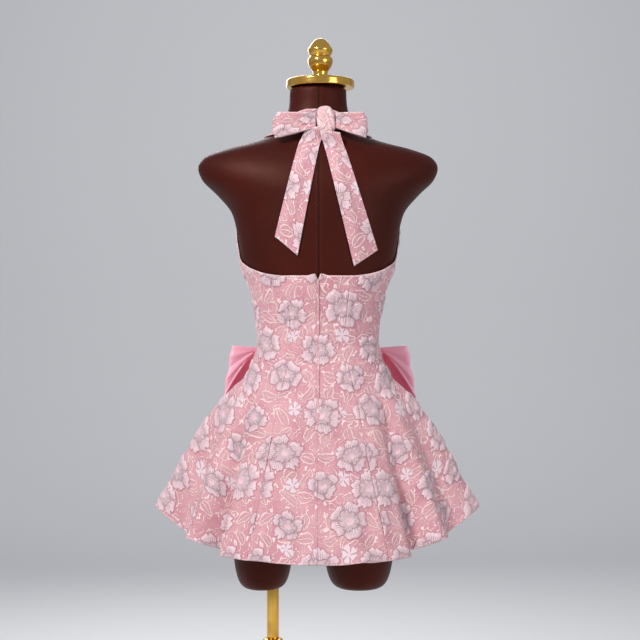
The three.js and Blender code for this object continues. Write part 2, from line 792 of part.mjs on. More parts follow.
// The tie at the back of the neck
function makeNeckTie() {
  makeKnot("neck_bow_knot", NECK_KNOT, COLOURS.jacquard);
  makeLoops("neck_bow_loop_", NECK_KNOT, NECK_LOOP, JACQUARD, COLOURS.jacquard);
  for (const tail of NECK_TAILS) {
    const between = THREE.MathUtils.lerp;
    const surface = (across, down) => {
      const top = between(tail.topLeft.z, tail.topRight.z, across);
      const end = between(tail.endLeft.z, tail.endRight.z, across);
      const left = between(tail.topLeft.x, tail.endLeft.x, down);
      const right = between(tail.topRight.x, tail.endRight.x, down);
      const point = backPoint(between(left, right, across), between(top, end, down));
      point.y += TAIL_RIPPLE * (1 - Math.cos(2 * Math.PI * (across + 0.3 * down))) * 0.5;
      return point;
    };
    makeStrip(tail.name, {
      columns: steps(0, 1, TAIL_COLUMNS),
      rows: steps(0, 1, TAIL_ROWS),
      surface,
      gap: TAIL_CLEAR,
      thick: JACQUARD,
      flip: true,
      material: COLOURS.jacquard,
    });
  }
}

// The satin bow at the front of the waist
function makeWaistBow() {
  makeKnot("waist_bow_knot", WAIST_KNOT, COLOURS.satin);
  makeLoops("waist_bow_loop_", WAIST_KNOT, WAIST_LOOP, SATIN, COLOURS.satin);
}

makeForm();
makeMetal();
makePanels();
makeNeckBand();
makeZip();
makeNeckTie();
makeWaistBow();

export default dress;
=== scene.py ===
"""Halter cocktail dress on a limbless dress form, seen from behind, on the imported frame.

Sizes in the tables and surfaces are in millimetres, the same ones as the solids have.
Angles go round from the centre back over the wearer's left side to the centre front.
"""
import math

import bmesh
import bpy
import numpy as np
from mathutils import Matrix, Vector


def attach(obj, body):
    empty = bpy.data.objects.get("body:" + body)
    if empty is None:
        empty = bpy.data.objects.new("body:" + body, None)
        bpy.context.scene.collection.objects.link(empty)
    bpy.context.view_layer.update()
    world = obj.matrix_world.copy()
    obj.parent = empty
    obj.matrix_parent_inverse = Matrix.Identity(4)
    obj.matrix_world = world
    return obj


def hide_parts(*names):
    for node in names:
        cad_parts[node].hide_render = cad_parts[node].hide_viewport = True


bl_info = {
    "name": "Halter cocktail dress",
    "version": (1, 0, 0),
    "blender": (4, 5, 0),
    "location": "3D View > Sidebar > Dress",
    "description": "Builds a jacquard cocktail dress on its dress form, piece by piece",
    "category": "Add Mesh",
}

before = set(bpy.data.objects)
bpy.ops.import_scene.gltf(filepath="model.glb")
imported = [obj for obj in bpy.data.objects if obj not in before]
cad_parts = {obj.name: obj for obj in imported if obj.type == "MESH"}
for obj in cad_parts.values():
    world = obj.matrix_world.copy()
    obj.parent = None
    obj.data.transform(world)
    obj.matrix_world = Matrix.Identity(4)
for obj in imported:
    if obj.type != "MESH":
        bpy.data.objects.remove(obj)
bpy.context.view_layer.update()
MM = 0.001

# Heights on the form
WAIST, NECK_TOP, CROTCH = 1050, 1486, 772

# The air between form and cloth, the two cloths' thicknesses, and the gap at a seam
CLEAR, JACQUARD, SATIN, SEAM = 1.3, 1.6, 1.2, 0.3

# How far a shell runs past its panel into the seam
SEAM_LAP = 0.12

# What a maker adds all round for sewing, in metres
SEAM_ALLOWED = 0.012

# The level below which the flowers of two panels are no longer matched at their seam
MATCHED = 0.25


def table(names, *rows):
    """A table of numbers, one column for each name."""
    return dict(zip(names.split(), np.array(rows, float).T))


BODY = table(
    "z wide back front power",
    (772, 112, 60, 50, 2.2), (790, 140, 86, 66, 2.3), (830, 152, 106, 80, 2.3),
    (885, 152, 116, 90, 2.25), (935, 141, 110, 94, 2.2), (985, 119, 92, 93, 2.2),
    (1020, 105, 79, 88, 2.2), (1050, 100, 74.5, 84, 2.2), (1092, 102, 76, 88, 2.2),
    (1120, 107, 80, 96, 2.2), (1147, 113, 85, 109, 2.2), (1191, 129, 92, 120, 2.2),
    (1228, 135, 96, 118, 2.2), (1271, 145, 99, 105, 2.15), (1305, 172, 99, 93, 2.1),
    (1330, 197, 95, 85, 2.1), (1350, 204, 88, 79, 2.1), (1366, 195, 79, 74, 2.1),
    (1380, 162, 70, 70, 2.1), (1392, 115, 62, 66, 2.1), (1404, 82, 55, 62, 2.1),
    (1425, 60, 48, 58, 2.05), (1460, 49, 43, 56, 2), (1486, 48, 43, 56, 2),
)
# The thigh stumps: the axis, then half the width and half the depth
THIGHS = ((93, 6, 52, 74), (-69, 6, 61, 76))
THIGH_SECTIONS = table(
    "z size", (640, 0.3), (640.8, 0.5), (643.5, 0.65), (650, 0.76), (662, 0.85), (680, 0.92),
    (705, 0.97), (770, 1), (850, 0.9),
)
SKIRT = table(
    "share wide back front fold",
    (0, 100, 74.5, 84, 0), (0.07, 105.5, 80, 89.5, 0), (0.16, 115.5, 91, 98, 0.02),
    (0.21, 124, 98, 103, 0.05), (0.26, 139, 104, 109, 0.09), (0.35, 163, 114.5, 121, 0.17),
    (0.5, 193, 127, 139, 0.34), (0.65, 218, 145, 156, 0.54), (0.8, 239, 164, 173, 0.75),
    (0.9, 254.5, 177, 183, 0.88), (1, 271.5, 190, 192, 1),
)
HEM_LEFT = table(
    "angle reach length",
    (0, 190, 362), (26, 203, 360), (47, 208, 357), (57.5, 180, 344), (65.5, 233, 342),
    (74, 223, 336), (86, 272, 322), (99, 236, 328), (109, 248, 334), (121, 192, 340),
    (136, 219, 348), (153, 176, 348), (180, 192, 350),
)
HEM_RIGHT = table(
    "angle reach length",
    (0, 190, 362), (24, 202, 361), (44, 206, 358), (54.5, 178, 345), (63, 229, 342),
    (73, 225, 334), (86, 270, 321), (98, 240, 328), (110, 250, 335), (123, 190, 341),
    (138, 216, 348), (156, 178, 348), (180, 192, 350),
)
TOP_EDGE = table(
    "angle z",
    (0, 1158), (3, 1169), (12, 1166), (33, 1166), (48, 1169), (62, 1176), (74, 1186),
    (84, 1197), (92, 1220), (99, 1248), (107, 1268), (118, 1292), (128, 1326), (136, 1362),
    (142, 1387.6),
)
BAND = table(
    "angle low high",
    (0, 1416, 1444), (20, 1412, 1444), (45, 1407, 1439), (70, 1402, 1429), (90, 1400, 1422),
    (120, 1396, 1420), (142, 1388, 1420), (160, 1384.5, 1418), (180, 1382, 1417),
)
BAND_FROM, BAND_TO = -13, 346

# Each panel: first and last seam angle; the right half mirrors the left
PANELS = (("back", 0, 33), ("side_back", 33, 90), ("side_front", 90, 147))
FRONT_SEAMS = (147, 213)


def track(rows, key, column, flat_ends=False):
    """A smooth curve with no overshoot through one column of a table."""
    xs, ys = rows[key], rows[column]
    slopes = np.diff(ys) / np.diff(xs)
    before, after = slopes[:-1], slopes[1:]
    same_way = before * after > 0
    tangents = np.zeros_like(ys)
    total = np.where(same_way, before + after, 1)
    tangents[1:-1] = np.where(same_way, 2 * before * after / total, 0)
    if not flat_ends:
        tangents[0], tangents[-1] = slopes[0], slopes[-1]

    def at(x):
        x = np.asarray(x, float)
        i = np.searchsorted(xs[1:-1], x)
        step = xs[i + 1] - xs[i]
        t = np.clip((x - xs[i]) / step, 0, 1)
        rise, lead, trail = t * t * (3 - 2 * t), t * (1 - t) ** 2, t * t * (t - 1)
        bend = step * (tangents[i] * lead + tangents[i + 1] * trail)
        return ys[i] + (ys[i + 1] - ys[i]) * rise + bend

    return at


def all_round(column, left, right):
    """One column, from a table for each half. The right half is read at the mirrored angle."""
    on_left, on_right = (track(rows, "angle", column, True) for rows in (left, right))
    return lambda angle: np.where(angle <= 180, on_left(angle), on_right(360 - angle))


body_column = {name: track(BODY, "z", name) for name in ("wide", "back", "front", "power")}
skirt_column = {name: track(SKIRT, "share", name) for name in ("wide", "back", "front", "fold")}
hem_reach = all_round("reach", HEM_LEFT, HEM_RIGHT)
cloth_length = all_round("length", HEM_LEFT, HEM_RIGHT)
band_low = all_round("low", BAND, BAND)
band_high = all_round("high", BAND, BAND)
armhole_edge = track(TOP_EDGE, "angle", "z")
HALTER_ANGLE = 142


def top_edge(angle):
    """The height of the dress's top edge: the armhole, then the halter under the neck band."""
    half = np.minimum(angle, 360 - angle)
    return np.where(half >= HALTER_ANGLE, band_low(half) - SEAM, armhole_edge(half))


def section_reach(angle, wide, back, front, power):
    """Distance from the axis to a rounded section at an angle."""
    turn = np.radians(angle)
    depth = np.abs(np.cos(turn)) / np.where(np.cos(turn) > 0, back, front)
    return ((np.abs(np.sin(turn)) / wide) ** power + depth**power) ** (-1 / power)


def polar(angle, reach, z):
    turn = np.radians(angle)
    return np.stack([reach * np.sin(turn), reach * np.cos(turn), z + 0 * reach], -1)


def body_point(angle, z):
    return polar(angle, section_reach(angle, *(body_column[n](z) for n in body_column)), z)


def skirt_point(angle, share):
    """The skirt hangs at the cloth's own length: a crest that reaches further ends higher."""
    def section(s):
        sizes = [skirt_column[n](s) for n in ("wide", "back", "front")]
        return section_reach(angle, *sizes, 2.2 - 0.2 * s)

    reach = hem_reach(angle)
    opened = skirt_column["fold"](share) * (reach - section(np.ones_like(share)))
    spread = reach - section(np.zeros_like(share))
    drop = np.sqrt(cloth_length(angle) ** 2 - spread**2)
    return polar(angle, section(share) + opened, WAIST - share * drop)


def dress_point(angle, level):
    """Level -1 is the top edge, 0 the waist and 1 the hem."""
    angle, level = np.broadcast_arrays(np.asarray(angle, float) % 360, np.asarray(level, float))
    z = WAIST - np.minimum(level, 0) * (top_edge(angle) - WAIST)
    upper = body_point(angle, z)
    lower = skirt_point(angle, np.clip(level, 0, 1))
    return np.where((level > 0)[..., None], lower, upper)


def back_point(x, z):
    """Where the form's back lies behind a point given by its width and height."""
    wide, back, power = (body_column[n](z) for n in ("wide", "back", "power"))
    return np.stack([x, back * (1 - np.abs(x / wide) ** power) ** (1 / power), z + 0 * x], -1)


def unit(v):
    return v / np.maximum(np.linalg.norm(v, axis=-1, keepdims=True), 1e-12)


def facing(points):
    """The way out from each point of a grid of rows of points."""
    along, across = np.gradient(points, axis=0), np.gradient(points, axis=1)
    return unit(np.cross(across, along))


def smooth(x, low, high):
    t = np.clip((np.asarray(x, float) - low) / (high - low), 0, 1)
    return t * t * (3 - 2 * t)


def bell(x, width):
    return np.exp(-((x / width) ** 2))


# The flower repeat, as charted: half-drop rows of five-petalled flowers on the flat cloth.
# The same sums make the raised cloth and, as nodes, its colours.
FLOWER_PITCH, FLOWER_ROW = 92, 60
PETALS = 5


def arithmetic(operation, turned=False):
    """A sum of a socket with another socket or a number, in this order or the other."""
    def work(self, other):
        return Term.sum_of(operation, *((other, self) if turned else (self, other)))

    return work


class Term:
    """One socket in a material. Arithmetic on it adds the Math nodes."""

    def __init__(self, tree, socket):
        self.tree, self.socket = tree, socket

    @staticmethod
    def sum_of(operation, *values):
        tree = next(v.tree for v in values if isinstance(v, Term))
        made = tree.nodes.new("ShaderNodeMath")
        made.operation = operation
        for place, value in zip(made.inputs, values):
            if isinstance(value, Term):
                tree.links.new(value.socket, place)
            else:
                place.default_value = float(value)
        return Term(tree, made.outputs[0])

    __add__ = __radd__ = arithmetic("ADD")
    __mul__ = __rmul__ = arithmetic("MULTIPLY")
    __sub__ = arithmetic("SUBTRACT")
    __rsub__ = arithmetic("SUBTRACT", turned=True)
    __truediv__ = arithmetic("DIVIDE")

    def __abs__(self):
        return Term.sum_of("ABSOLUTE", self)


def either(operation, plain):
    """A function that takes numbers or sockets."""
    def work(*values):
        if any(isinstance(v, Term) for v in values):
            return Term.sum_of(operation, *values)
        return plain(*values)

    return work


sine = either("SINE", np.sin)
root = either("SQRT", np.sqrt)
floor = either("FLOOR", np.floor)
turn_of = either("ARCTAN2", np.arctan2)
most = either("MAXIMUM", np.maximum)


def pushed(u, v):
    """The flat coordinates, drifted a little so that no two flowers are alike."""
    over = 2 * sine(v * 0.15 + 1.2 * sine(u * 0.09)) + 0.3 * sine(v * 0.47 - u * 0.23)
    down = 2 * sine(u * 0.14 + 1.3 * sine(v * 0.1)) + 0.3 * sine(u * 0.41 + v * 0.31)
    return u + over, v + down


def flower_at(u, v, odd, size=28, shift=0):
    """Where a point of the flat cloth lies in the nearest flower of one of the two lattices:
    how far inside its outline, its distance from the centre, the flower's size, its place
    across a petal from -0.5 to 0.5, and how far it is inside the inner ring of petals."""
    down = floor(v / (2 * FLOWER_ROW) + (0.5 - 0.5 * odd))
    over = floor(u / FLOWER_PITCH + (0.5 - 0.5 * odd))
    luck = over * 2.4 + down * 4.1 + (odd * 1.7 + shift)
    du = u - (over + 0.5 * odd) * FLOWER_PITCH - 9 * sine(luck * 1.3)
    dv = v - (down + 0.5 * odd) * (2 * FLOWER_ROW) - 8 * sine(luck * 2.1 + 1)
    away = root(du * du + dv * dv + 0.01)
    reach = size + size * 0.17 * sine(luck * 3.7)
    lap = (turn_of(dv, du) + luck) * (PETALS / (2 * math.pi))
    petal = lap - floor(lap) - 0.5
    edge = abs(petal)
    notch = most(0.08 - edge, 0) * 1.2
    frill = sine(petal * 25 + luck) * 0.035
    outline = reach * (1 - 1.9 * edge * edge * edge - notch + frill)
    half = lap + 0.43
    inner = abs(half - floor(half) - 0.5)
    inner_line = reach * (0.56 - 1.1 * inner * inner * inner + 0.4 * frill)
    return outline - away, away, reach, petal, inner_line - away


def raised(u, v):
    """Height of the puffed flowers over the flat cloth, in mm."""
    height = 0 * u
    wide, down = pushed(u, v)
    for odd in (0, 1):
        inside, away, reach, petal, inner = flower_at(wide, down, odd)
        dome = smooth(inside, -1.2, 5) * (0.55 + 0.45 * smooth(away / reach, 0.05, 0.4))
        lobes = 1 - 0.6 * smooth(np.abs(petal), 0.28, 0.5) * smooth(away / reach, 0.3, 0.6)
        height = np.maximum(height, dome * lobes - 0.3 * bell(inner, 2.2))
    crumple = np.sin(u * 0.55 + 2 * np.sin(v * 0.31)) * np.sin(v * 0.49 + 2 * np.sin(u * 0.27))
    return height + 0.2 * crumple


# Main creases, listed one by one: from (angle, level) to (angle, level), width and depth in mm.
# Troughs have a positive depth, ridges a negative one.
CREASES = (
    (4, -0.10, 17, -0.22, 5, 1.1), (352, -0.16, 338, -0.08, 5, 1.0),
    (20, -0.02, 36, 0.05, 6, 1.0), (336, 0.02, 318, -0.06, 6, 1.1),
    (40, -0.20, 58, -0.10, 6, 1.2), (322, -0.28, 300, -0.16, 6, 1.1),
    (8, 0.30, 16, 0.92, 13, 2.6), (344, 0.36, 336, 0.96, 12, 2.4), (30, 0.26, 41, 0.90, 11, -2.0),
    (318, 0.30, 327, 0.94, 12, -2.0), (70, -0.30, 84, -0.14, 7, 1.2),
    (290, -0.26, 277, -0.12, 7, 1.2), (96, 0.04, 112, -0.12, 7, 1.2),
    (264, 0.03, 249, -0.12, 7, 1.2), (104, -0.55, 122, -0.42, 8, 1.3),
    (256, -0.52, 239, -0.44, 8, 1.3), (170, 0.12, 163, 0.90, 13, 2.4),
    (192, 0.10, 199, 0.94, 13, 2.4), (128, 0.24, 133, 0.92, 11, 2.0),
    (231, 0.26, 226, 0.9, 11, 2.0),
)

# About how much cloth there is below and above the waist
SKIRT_RUN, BODICE_RUN = 350, 120


def waist_run(level):
    """About how far a level lies from the waist along the cloth, in mm."""
    return np.where(level > 0, level * SKIRT_RUN, level * BODICE_RUN)


def creased(angle, level):
    """How far the listed creases and the loose ripples move the cloth out, in mm."""
    out = 0 * angle
    along = waist_run(level)
    for a0, l0, a1, l1, width, depth in CREASES:
        span = 0.5 * (l0 + l1)
        scale = math.pi / 180 * (105 if span < 0.05 else 100 + 95 * span)
        near = (angle - a0 + 180) % 360 - 180
        run = (a1 - a0 + 180) % 360 - 180
        x, y = near * scale, along - waist_run(l0)
        ex, ey = run * scale, float(waist_run(l1) - waist_run(l0))
        length = math.hypot(ex, ey)
        t = np.clip((x * ex + y * ey) / length**2, 0, 1)
        off = np.hypot(x - t * ex, y - t * ey)
        out = out - depth * bell(off, width) * np.sin(math.pi * (0.12 + 0.8 * t))
    turn = np.radians(angle)
    loose = smooth(level, 0.3, 1) ** 1.5
    ripple = 1.5 * np.sin(17 * turn + 1) + 1.1 * np.sin(23 * turn + 2.2) + 0.7 * np.sin(31 * turn)
    return out + loose * ripple


def mesh_of(name, bm):
    """The mesh of a shape that is finished with."""
    mesh = bpy.data.meshes.new(name)
    bm.to_mesh(mesh)
    bm.free()
    return mesh


def placed(name, mesh):
    """Puts a mesh in the scene as an object of its own, smooth all over."""
    mesh.polygons.foreach_set("use_smooth", np.ones(len(mesh.polygons), bool))
    made = bpy.data.objects.new(name, mesh)
    bpy.context.scene.collection.objects.link(made)
    return made


def grid_piece(name, points, uv=None, edge=None, closed=False):
    """A sheet through rows of points in mm, with flat coordinates and its distance to an edge."""
    rows, columns = points.shape[:2]
    bm = bmesh.new()
    bmesh.ops.create_grid(bm, x_segments=columns - 1, y_segments=rows - 1, size=1)
    mesh = mesh_of(name, bm)
    spots = np.zeros(len(mesh.vertices) * 3, np.float32)
    mesh.vertices.foreach_get("co", spots)
    spots = spots.reshape(-1, 3)
    across = np.rint((spots[:, 0] + 1) / 2 * (columns - 1)).astype(int)
    down = np.rint((spots[:, 1] + 1) / 2 * (rows - 1)).astype(int)
    mesh.vertices.foreach_set("co", (points[down, across] * MM).astype(np.float32).ravel())
    if uv is not None:
        corners = np.zeros(len(mesh.loops), np.int32)
        mesh.loops.foreach_get("vertex_index", corners)
        layer = mesh.uv_layers.active or mesh.uv_layers.new(name="flat")
        layer.name = "flat"
        layer.data.foreach_set("uv", (uv[down, across][corners] * MM).astype(np.float32).ravel())
    if edge is not None:
        layer = mesh.attributes.new("edge", "FLOAT", "POINT")
        layer.data.foreach_set("value", edge[down, across].astype(np.float32).ravel())
    mesh.update()
    if closed:
        bm = bmesh.new()
        bm.from_mesh(mesh)
        bmesh.ops.remove_doubles(bm, verts=bm.verts, dist=1e-6)
        bmesh.ops.holes_fill(bm, edges=bm.edges, sides=0)
        bmesh.ops.recalc_face_normals(bm, faces=bm.faces)
        bm.to_mesh(mesh)
        bm.free()
    return placed(name, mesh)


def spun_piece(name, profile, centre, steps=96, rounds=1):
    """A turned metal piece: a profile of (radius, height) in mm spun about the axis."""
    line = np.array(profile, float)
    if rounds > 1:
        chord = np.concatenate([[0], np.cumsum(np.hypot(*np.diff(line, axis=0).T))])
        rows = {"s": chord, "r": line[:, 0], "z": line[:, 1]}
        s = np.interp(np.linspace(0, len(chord) - 1, (len(chord) - 1) * rounds + 1),
                      np.arange(len(chord)), chord)
        line = np.stack([track(rows, "s", "r")(s), track(rows, "s", "z")(s)], -1)
    bm = bmesh.new()
    verts = [bm.verts.new((max(r, 0) * MM, 0, z * MM)) for r, z in line]
    edges = [bm.edges.new(pair) for pair in zip(verts, verts[1:])]
    bmesh.ops.spin(
        bm, geom=verts + edges, cent=(0, 0, 0), axis=(0, 0, 1), angle=2 * math.pi, steps=steps,
        use_merge=True, dvec=(0, 0, 0),
    )
    bmesh.ops.remove_doubles(bm, verts=bm.verts, dist=1e-6)
    bmesh.ops.recalc_face_normals(bm, faces=bm.faces)
    bmesh.ops.translate(bm, verts=bm.verts, vec=(centre[0] * MM, centre[1] * MM, 0))
    return placed(name, mesh_of(name, bm))


def walled(made, thick):
    """Gives a sheet its thickness, inwards from the side that shows."""
    wall = made.modifiers.new("wall", "SOLIDIFY")
    wall.thickness = thick * MM
    wall.offset = -1
    return made


def finished(made, finish, node):
    """Puts a piece on the object's body, in its material, in place of its plain solid."""
    made.data.materials.append(finish)
    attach(made, "root")
    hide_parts(node)
    return made


def flat_place(angles, levels, points, middle):
    """Flat coordinates of each point of a panel, in mm from its middle line and the waist."""
    steps = np.linalg.norm(np.diff(points, axis=1), axis=2)
    run = np.concatenate([np.zeros((len(points), 1)), np.cumsum(steps, 1)], 1)
    centre = np.array([np.interp(middle, angles, row) for row in run])
    down = np.where(
        levels[:, None] > 0,
        levels[:, None] * cloth_length(angles)[None],
        levels[:, None] * (top_edge(angles)[None] - WAIST),
    )
    return np.stack([run - centre[:, None], down], -1)


# How finely the panels are drawn: degrees a column, mm a bodice row, and the skirt's rows
COLUMN, BACK_COLUMN = 0.8, 0.62
BODICE_ROW, SKIRT_ROWS = 2.5, 142


def seam_run(angle, levels):
    """The way round from the centre back to a seam, row by row, so that the flowers match there.
    Below MATCHED the skirt flares too much for a match."""
    turns = np.linspace(0, angle, 60)[None]
    spots = dress_point(turns, np.minimum(levels, MATCHED)[:, None])
    return np.linalg.norm(np.diff(spots, axis=1), axis=2).sum(1) * np.sign(angle)


def panel(name, first, last, middle, cell):
    """One panel of the dress, from top edge to hem, with its creases and raised flowers.
    Its flat coordinates run from the seam or line called middle."""
    sizes = bpy.context.scene.dress_sizes
    angles = np.linspace(first, last, int((last - first) / cell) + 1)
    tall = top_edge(angles).max() - WAIST
    levels = np.concatenate([
        np.linspace(-1, 0, int(tall / BODICE_ROW) + 1)[:-1], np.linspace(0, 1, SKIRT_ROWS),
    ])
    base = dress_point(angles[None], levels[:, None])
    out = facing(base)
    flat = flat_place(angles, levels, base, middle)
    to_seam = np.minimum(flat[..., 0] - flat[:, :1, 0], flat[:, -1:, 0] - flat[..., 0])
    to_hem = flat[-1:, :, 1] - flat[..., 1]
    to_top = flat[..., 1] - flat[:1, :, 1]
    edge = np.minimum(to_hem, to_top)
    if name != "front":
        flat[..., 0] += seam_run(middle if middle < 180 else middle - 360, levels)[:, None]

    # Flowers that end at the edges, seams drawn in a little, and a rolled hem and top edge
    lift = sizes.puff / MM * raised(flat[..., 0], flat[..., 1])
    lift = lift * smooth(edge, -1, 5) * smooth(to_seam, -1.5, 2)
    lift = lift - 0.14 * bell(to_seam, 1.2) + 0.4 * bell(edge - 2, 2.2)

    # Creases, which can't press into the form where the cloth lies on it
    bends = creased(angles[None] + 0 * levels[:, None], levels[:, None] + 0 * angles[None])
    bends = bends * smooth(np.minimum(to_top, 60), 0, 30)
    on_form = 1 - smooth(levels[:, None], 0.02, 0.22)
    bends = np.where(bends < 0, bends * (1 - 0.75 * on_form), bends)
    height = CLEAR + JACQUARD + np.maximum(lift, -0.7) + bends
    trim = unit(np.gradient(base, axis=1))
    points = base + out * height[..., None]
    points[:, 0] -= trim[:, 0] * SEAM_LAP
    points[:, -1] += trim[:, -1] * SEAM_LAP
    made = walled(grid_piece(name + "_cloth", points, flat, edge), sizes.cloth / MM)
    return finished(made, material("jacquard"), name), flat


def cut_size(flat):
    """Width, length and area of a panel laid flat, in metres, with 12 mm allowed all round."""
    wide = (flat[:, -1, 0] - flat[:, 0, 0]).max() * MM + 2 * SEAM_ALLOWED
    long = np.ptp(flat[..., 1]) * MM + 2 * SEAM_ALLOWED
    across, down = np.diff(flat[..., 0], axis=1), np.diff(flat[..., 1], axis=0)
    area = float((across[:-1] * down[:, :-1]).sum()) * MM**2
    return (float(wide), float(long)), area


# The share of a tucked loop's way over which its lower edge climbs
TUCK_RUN = 0.36


def loop_surface(start, side, reach, shape, way, down):
    """A bow loop: a band led out from the knot, round a soft turn and back to it. Where it is
    tucked, the lower edge of the layer behind climbs from the outer corner up to the knot."""
    out, layer = np.sin(np.pi * way), np.cos(np.pi * way)
    opened = np.maximum(out, 0) ** shape["swell"]
    tall = shape["inner"] + (shape["outer"] - shape["inner"]) * opened
    climb = np.where(layer > 0, np.clip((1 - out) / TUCK_RUN, 0, 1), 0)
    kept = 1 - shape["tuck"] * climb * (0.6 + 0.4 * out)
    pleats = shape["gather"] * kept * (1 - out) * np.cos(5 * np.pi * down)
    bulge = 1 - shape["rounded"] * (2 * down) ** 2
    x = start[0] + side * (reach * bulge + shape["skew"] * down) * out
    y = start[1] + layer * shape["depth"] * (0.4 + 0.6 * out) + shape["bend"] * out * out + pleats
    z = start[2] - shape["droop"] * out + tall * (0.5 - (down + 0.5) * kept)
    return np.stack([x, y, z], -1), kept


def knot_piece(name, centre, wide, deep, tall, lean, pleats, cloth, slope=0, slant=0):
    """A knot: a plump rounded wrap of cloth with the pleats of its band drawn in. Each pleat is
    its place across, its bow, its width and its depth."""
    bm = bmesh.new()
    bmesh.ops.create_uvsphere(bm, u_segments=72, v_segments=40, radius=1)
    spots = np.array([v.co for v in bm.verts])
    a, b, c = spots.T
    fill = 1 / np.cbrt((np.abs(spots) ** 3).sum(1))
    fold = sum(
        depth * bell(a - at - bow * c * c - slant * c, width) for at, bow, width, depth in pleats
    )
    ends = smooth(1 - np.abs(c), 0, 0.35)
    size = fill * (1 - fold * ends)
    x = centre[0] + a * size * wide / 2 + lean * c
    y = centre[1] + b * size * deep / 2
    z = centre[2] + c * fill * tall / 2 + slope * a
    for vert, spot in zip(bm.verts, np.stack([x, y, z], -1) * MM):
        vert.co = spot
    bmesh.ops.recalc_face_normals(bm, faces=bm.faces)
    mesh = mesh_of(name + "_wrap", bm)
    layer = mesh.uv_layers.new(name="flat")
    from_left, from_top = (centre[0] - 28) * MM, (centre[2] + 33) * MM
    for poly in mesh.polygons:
        for corner in poly.loop_indices:
            spot = mesh.vertices[mesh.loops[corner].vertex_index].co
            layer.data[corner].uv = (spot.x - from_left, from_top - spot.z)
    return finished(placed(name + "_wrap", mesh), material(cloth), name)


class Finish:
    """A material, and the one method that adds its nodes."""

    def __init__(self, name):
        self.material = bpy.data.materials.new(name)
        self.material.use_nodes = True
        self.tree = self.material.node_tree
        self.tree.nodes.clear()

    def node(self, kind, settings=None, inputs=None, output=0):
        made = self.tree.nodes.new("ShaderNode" + kind)
        for name, value in (settings or {}).items():
            setattr(made, name, value)
        for name, value in (inputs or {}).items():
            if isinstance(value, Term):
                self.tree.links.new(value.socket, made.inputs[name])
            else:
                made.inputs[name].default_value = value
        return Term(self.tree, made.outputs[output])

    def ease(self, value, low, high):
        """0 below low, 1 above high and smooth between."""
        return self.node("MapRange", {"interpolation_type": "SMOOTHSTEP"},
                         {"Value": value, "From Min": low, "From Max": high})

    def mixed(self, share, first, second):
        """One colour into the other by a share."""
        colour = [c if isinstance(c, Term) else (*c, 1) for c in (first, second)]
        return self.node("Mix", {"data_type": "RGBA", "clamp_factor": True},
                         {0: share, 6: colour[0], 7: colour[1]}, output=2)

    def mark(self, name):
        """A number kept on the piece."""
        return self.node("Attribute", {"attribute_name": name}, output=2)

    def noise(self, place, scale, detail=2, rough=0.5, output=0):
        inputs = {"Vector": place, "Scale": scale, "Detail": detail, "Roughness": rough}
        return self.node("TexNoise", None, inputs, output=output)

    def parts(self, place):
        """The three numbers of a vector."""
        split = self.tree.nodes.new("ShaderNodeSeparateXYZ")
        self.tree.links.new(place.socket, split.inputs[0])
        return [Term(self.tree, spot) for spot in split.outputs]

    def joined(self, x, y, z=0.0):
        return self.node("CombineXYZ", None, {"X": x, "Y": y, "Z": z})

    def bump(self, height, strength, distance, under=None):
        inputs = {"Height": height, "Strength": strength, "Distance": distance}
        if under is not None:
            inputs["Normal"] = under
        return self.node("Bump", None, inputs)

    def surface(self, **sockets):
        """The Principled shader, and the finished material."""
        inputs = {name.replace("_", " "): value for name, value in sockets.items()}
        shader = self.node("BsdfPrincipled", None, inputs)
        out = self.tree.nodes.new("ShaderNodeOutputMaterial")
        self.tree.links.new(shader.socket, out.inputs["Surface"])
        return self.material


def shade(*rgb):
    """A screen colour, 0 to 1, as the light it gives back."""
    return tuple(((c + 0.055) / 1.055) ** 2.4 if c > 0.04 else c / 12.92 for c in rgb)


def leaf_lines(f, u, v, shift):
    """Where toothed leaves lie on the flat cloth, and their raised outlines and veins."""
    pitch = 34
    down, over = floor(v / pitch + 0.5), floor(u / pitch + 0.5)
    luck = over * 2.1 + down * 3.7 + shift
    du = u - over * pitch - 5 * sine(luck * 1.9)
    dv = v - down * pitch - 5 * sine(luck * 2.7 + 1)
    turn = luck * 1.3
    x = du * sine(turn + math.pi / 2) + dv * sine(turn)
    y = abs(dv * sine(turn + math.pi / 2) - du * sine(turn) + 0.014 * x * x - 1)
    reach = x / (15 + 3 * sine(luck * 4.3))
    wide = 6.5 * (1 - reach * reach) * (1 + 0.35 * reach) + 0.9 * abs(sine(x * 0.85))
    inside = wide - y
    whole = 1 - f.ease(abs(reach), 0.9, 1.0)
    outline = (1 - f.ease(abs(inside), 0.6, 1.35)) * whole
    leaf = f.ease(inside, -0.2, 0.5) * whole
    rib = 1 - f.ease(y, 0.3, 0.9)
    veins = 1 - f.ease(abs(sine((x - y * 1.3) * 0.45)), 0.12, 0.34)
    return leaf, most(outline, leaf * most(rib, veins * 0.8))


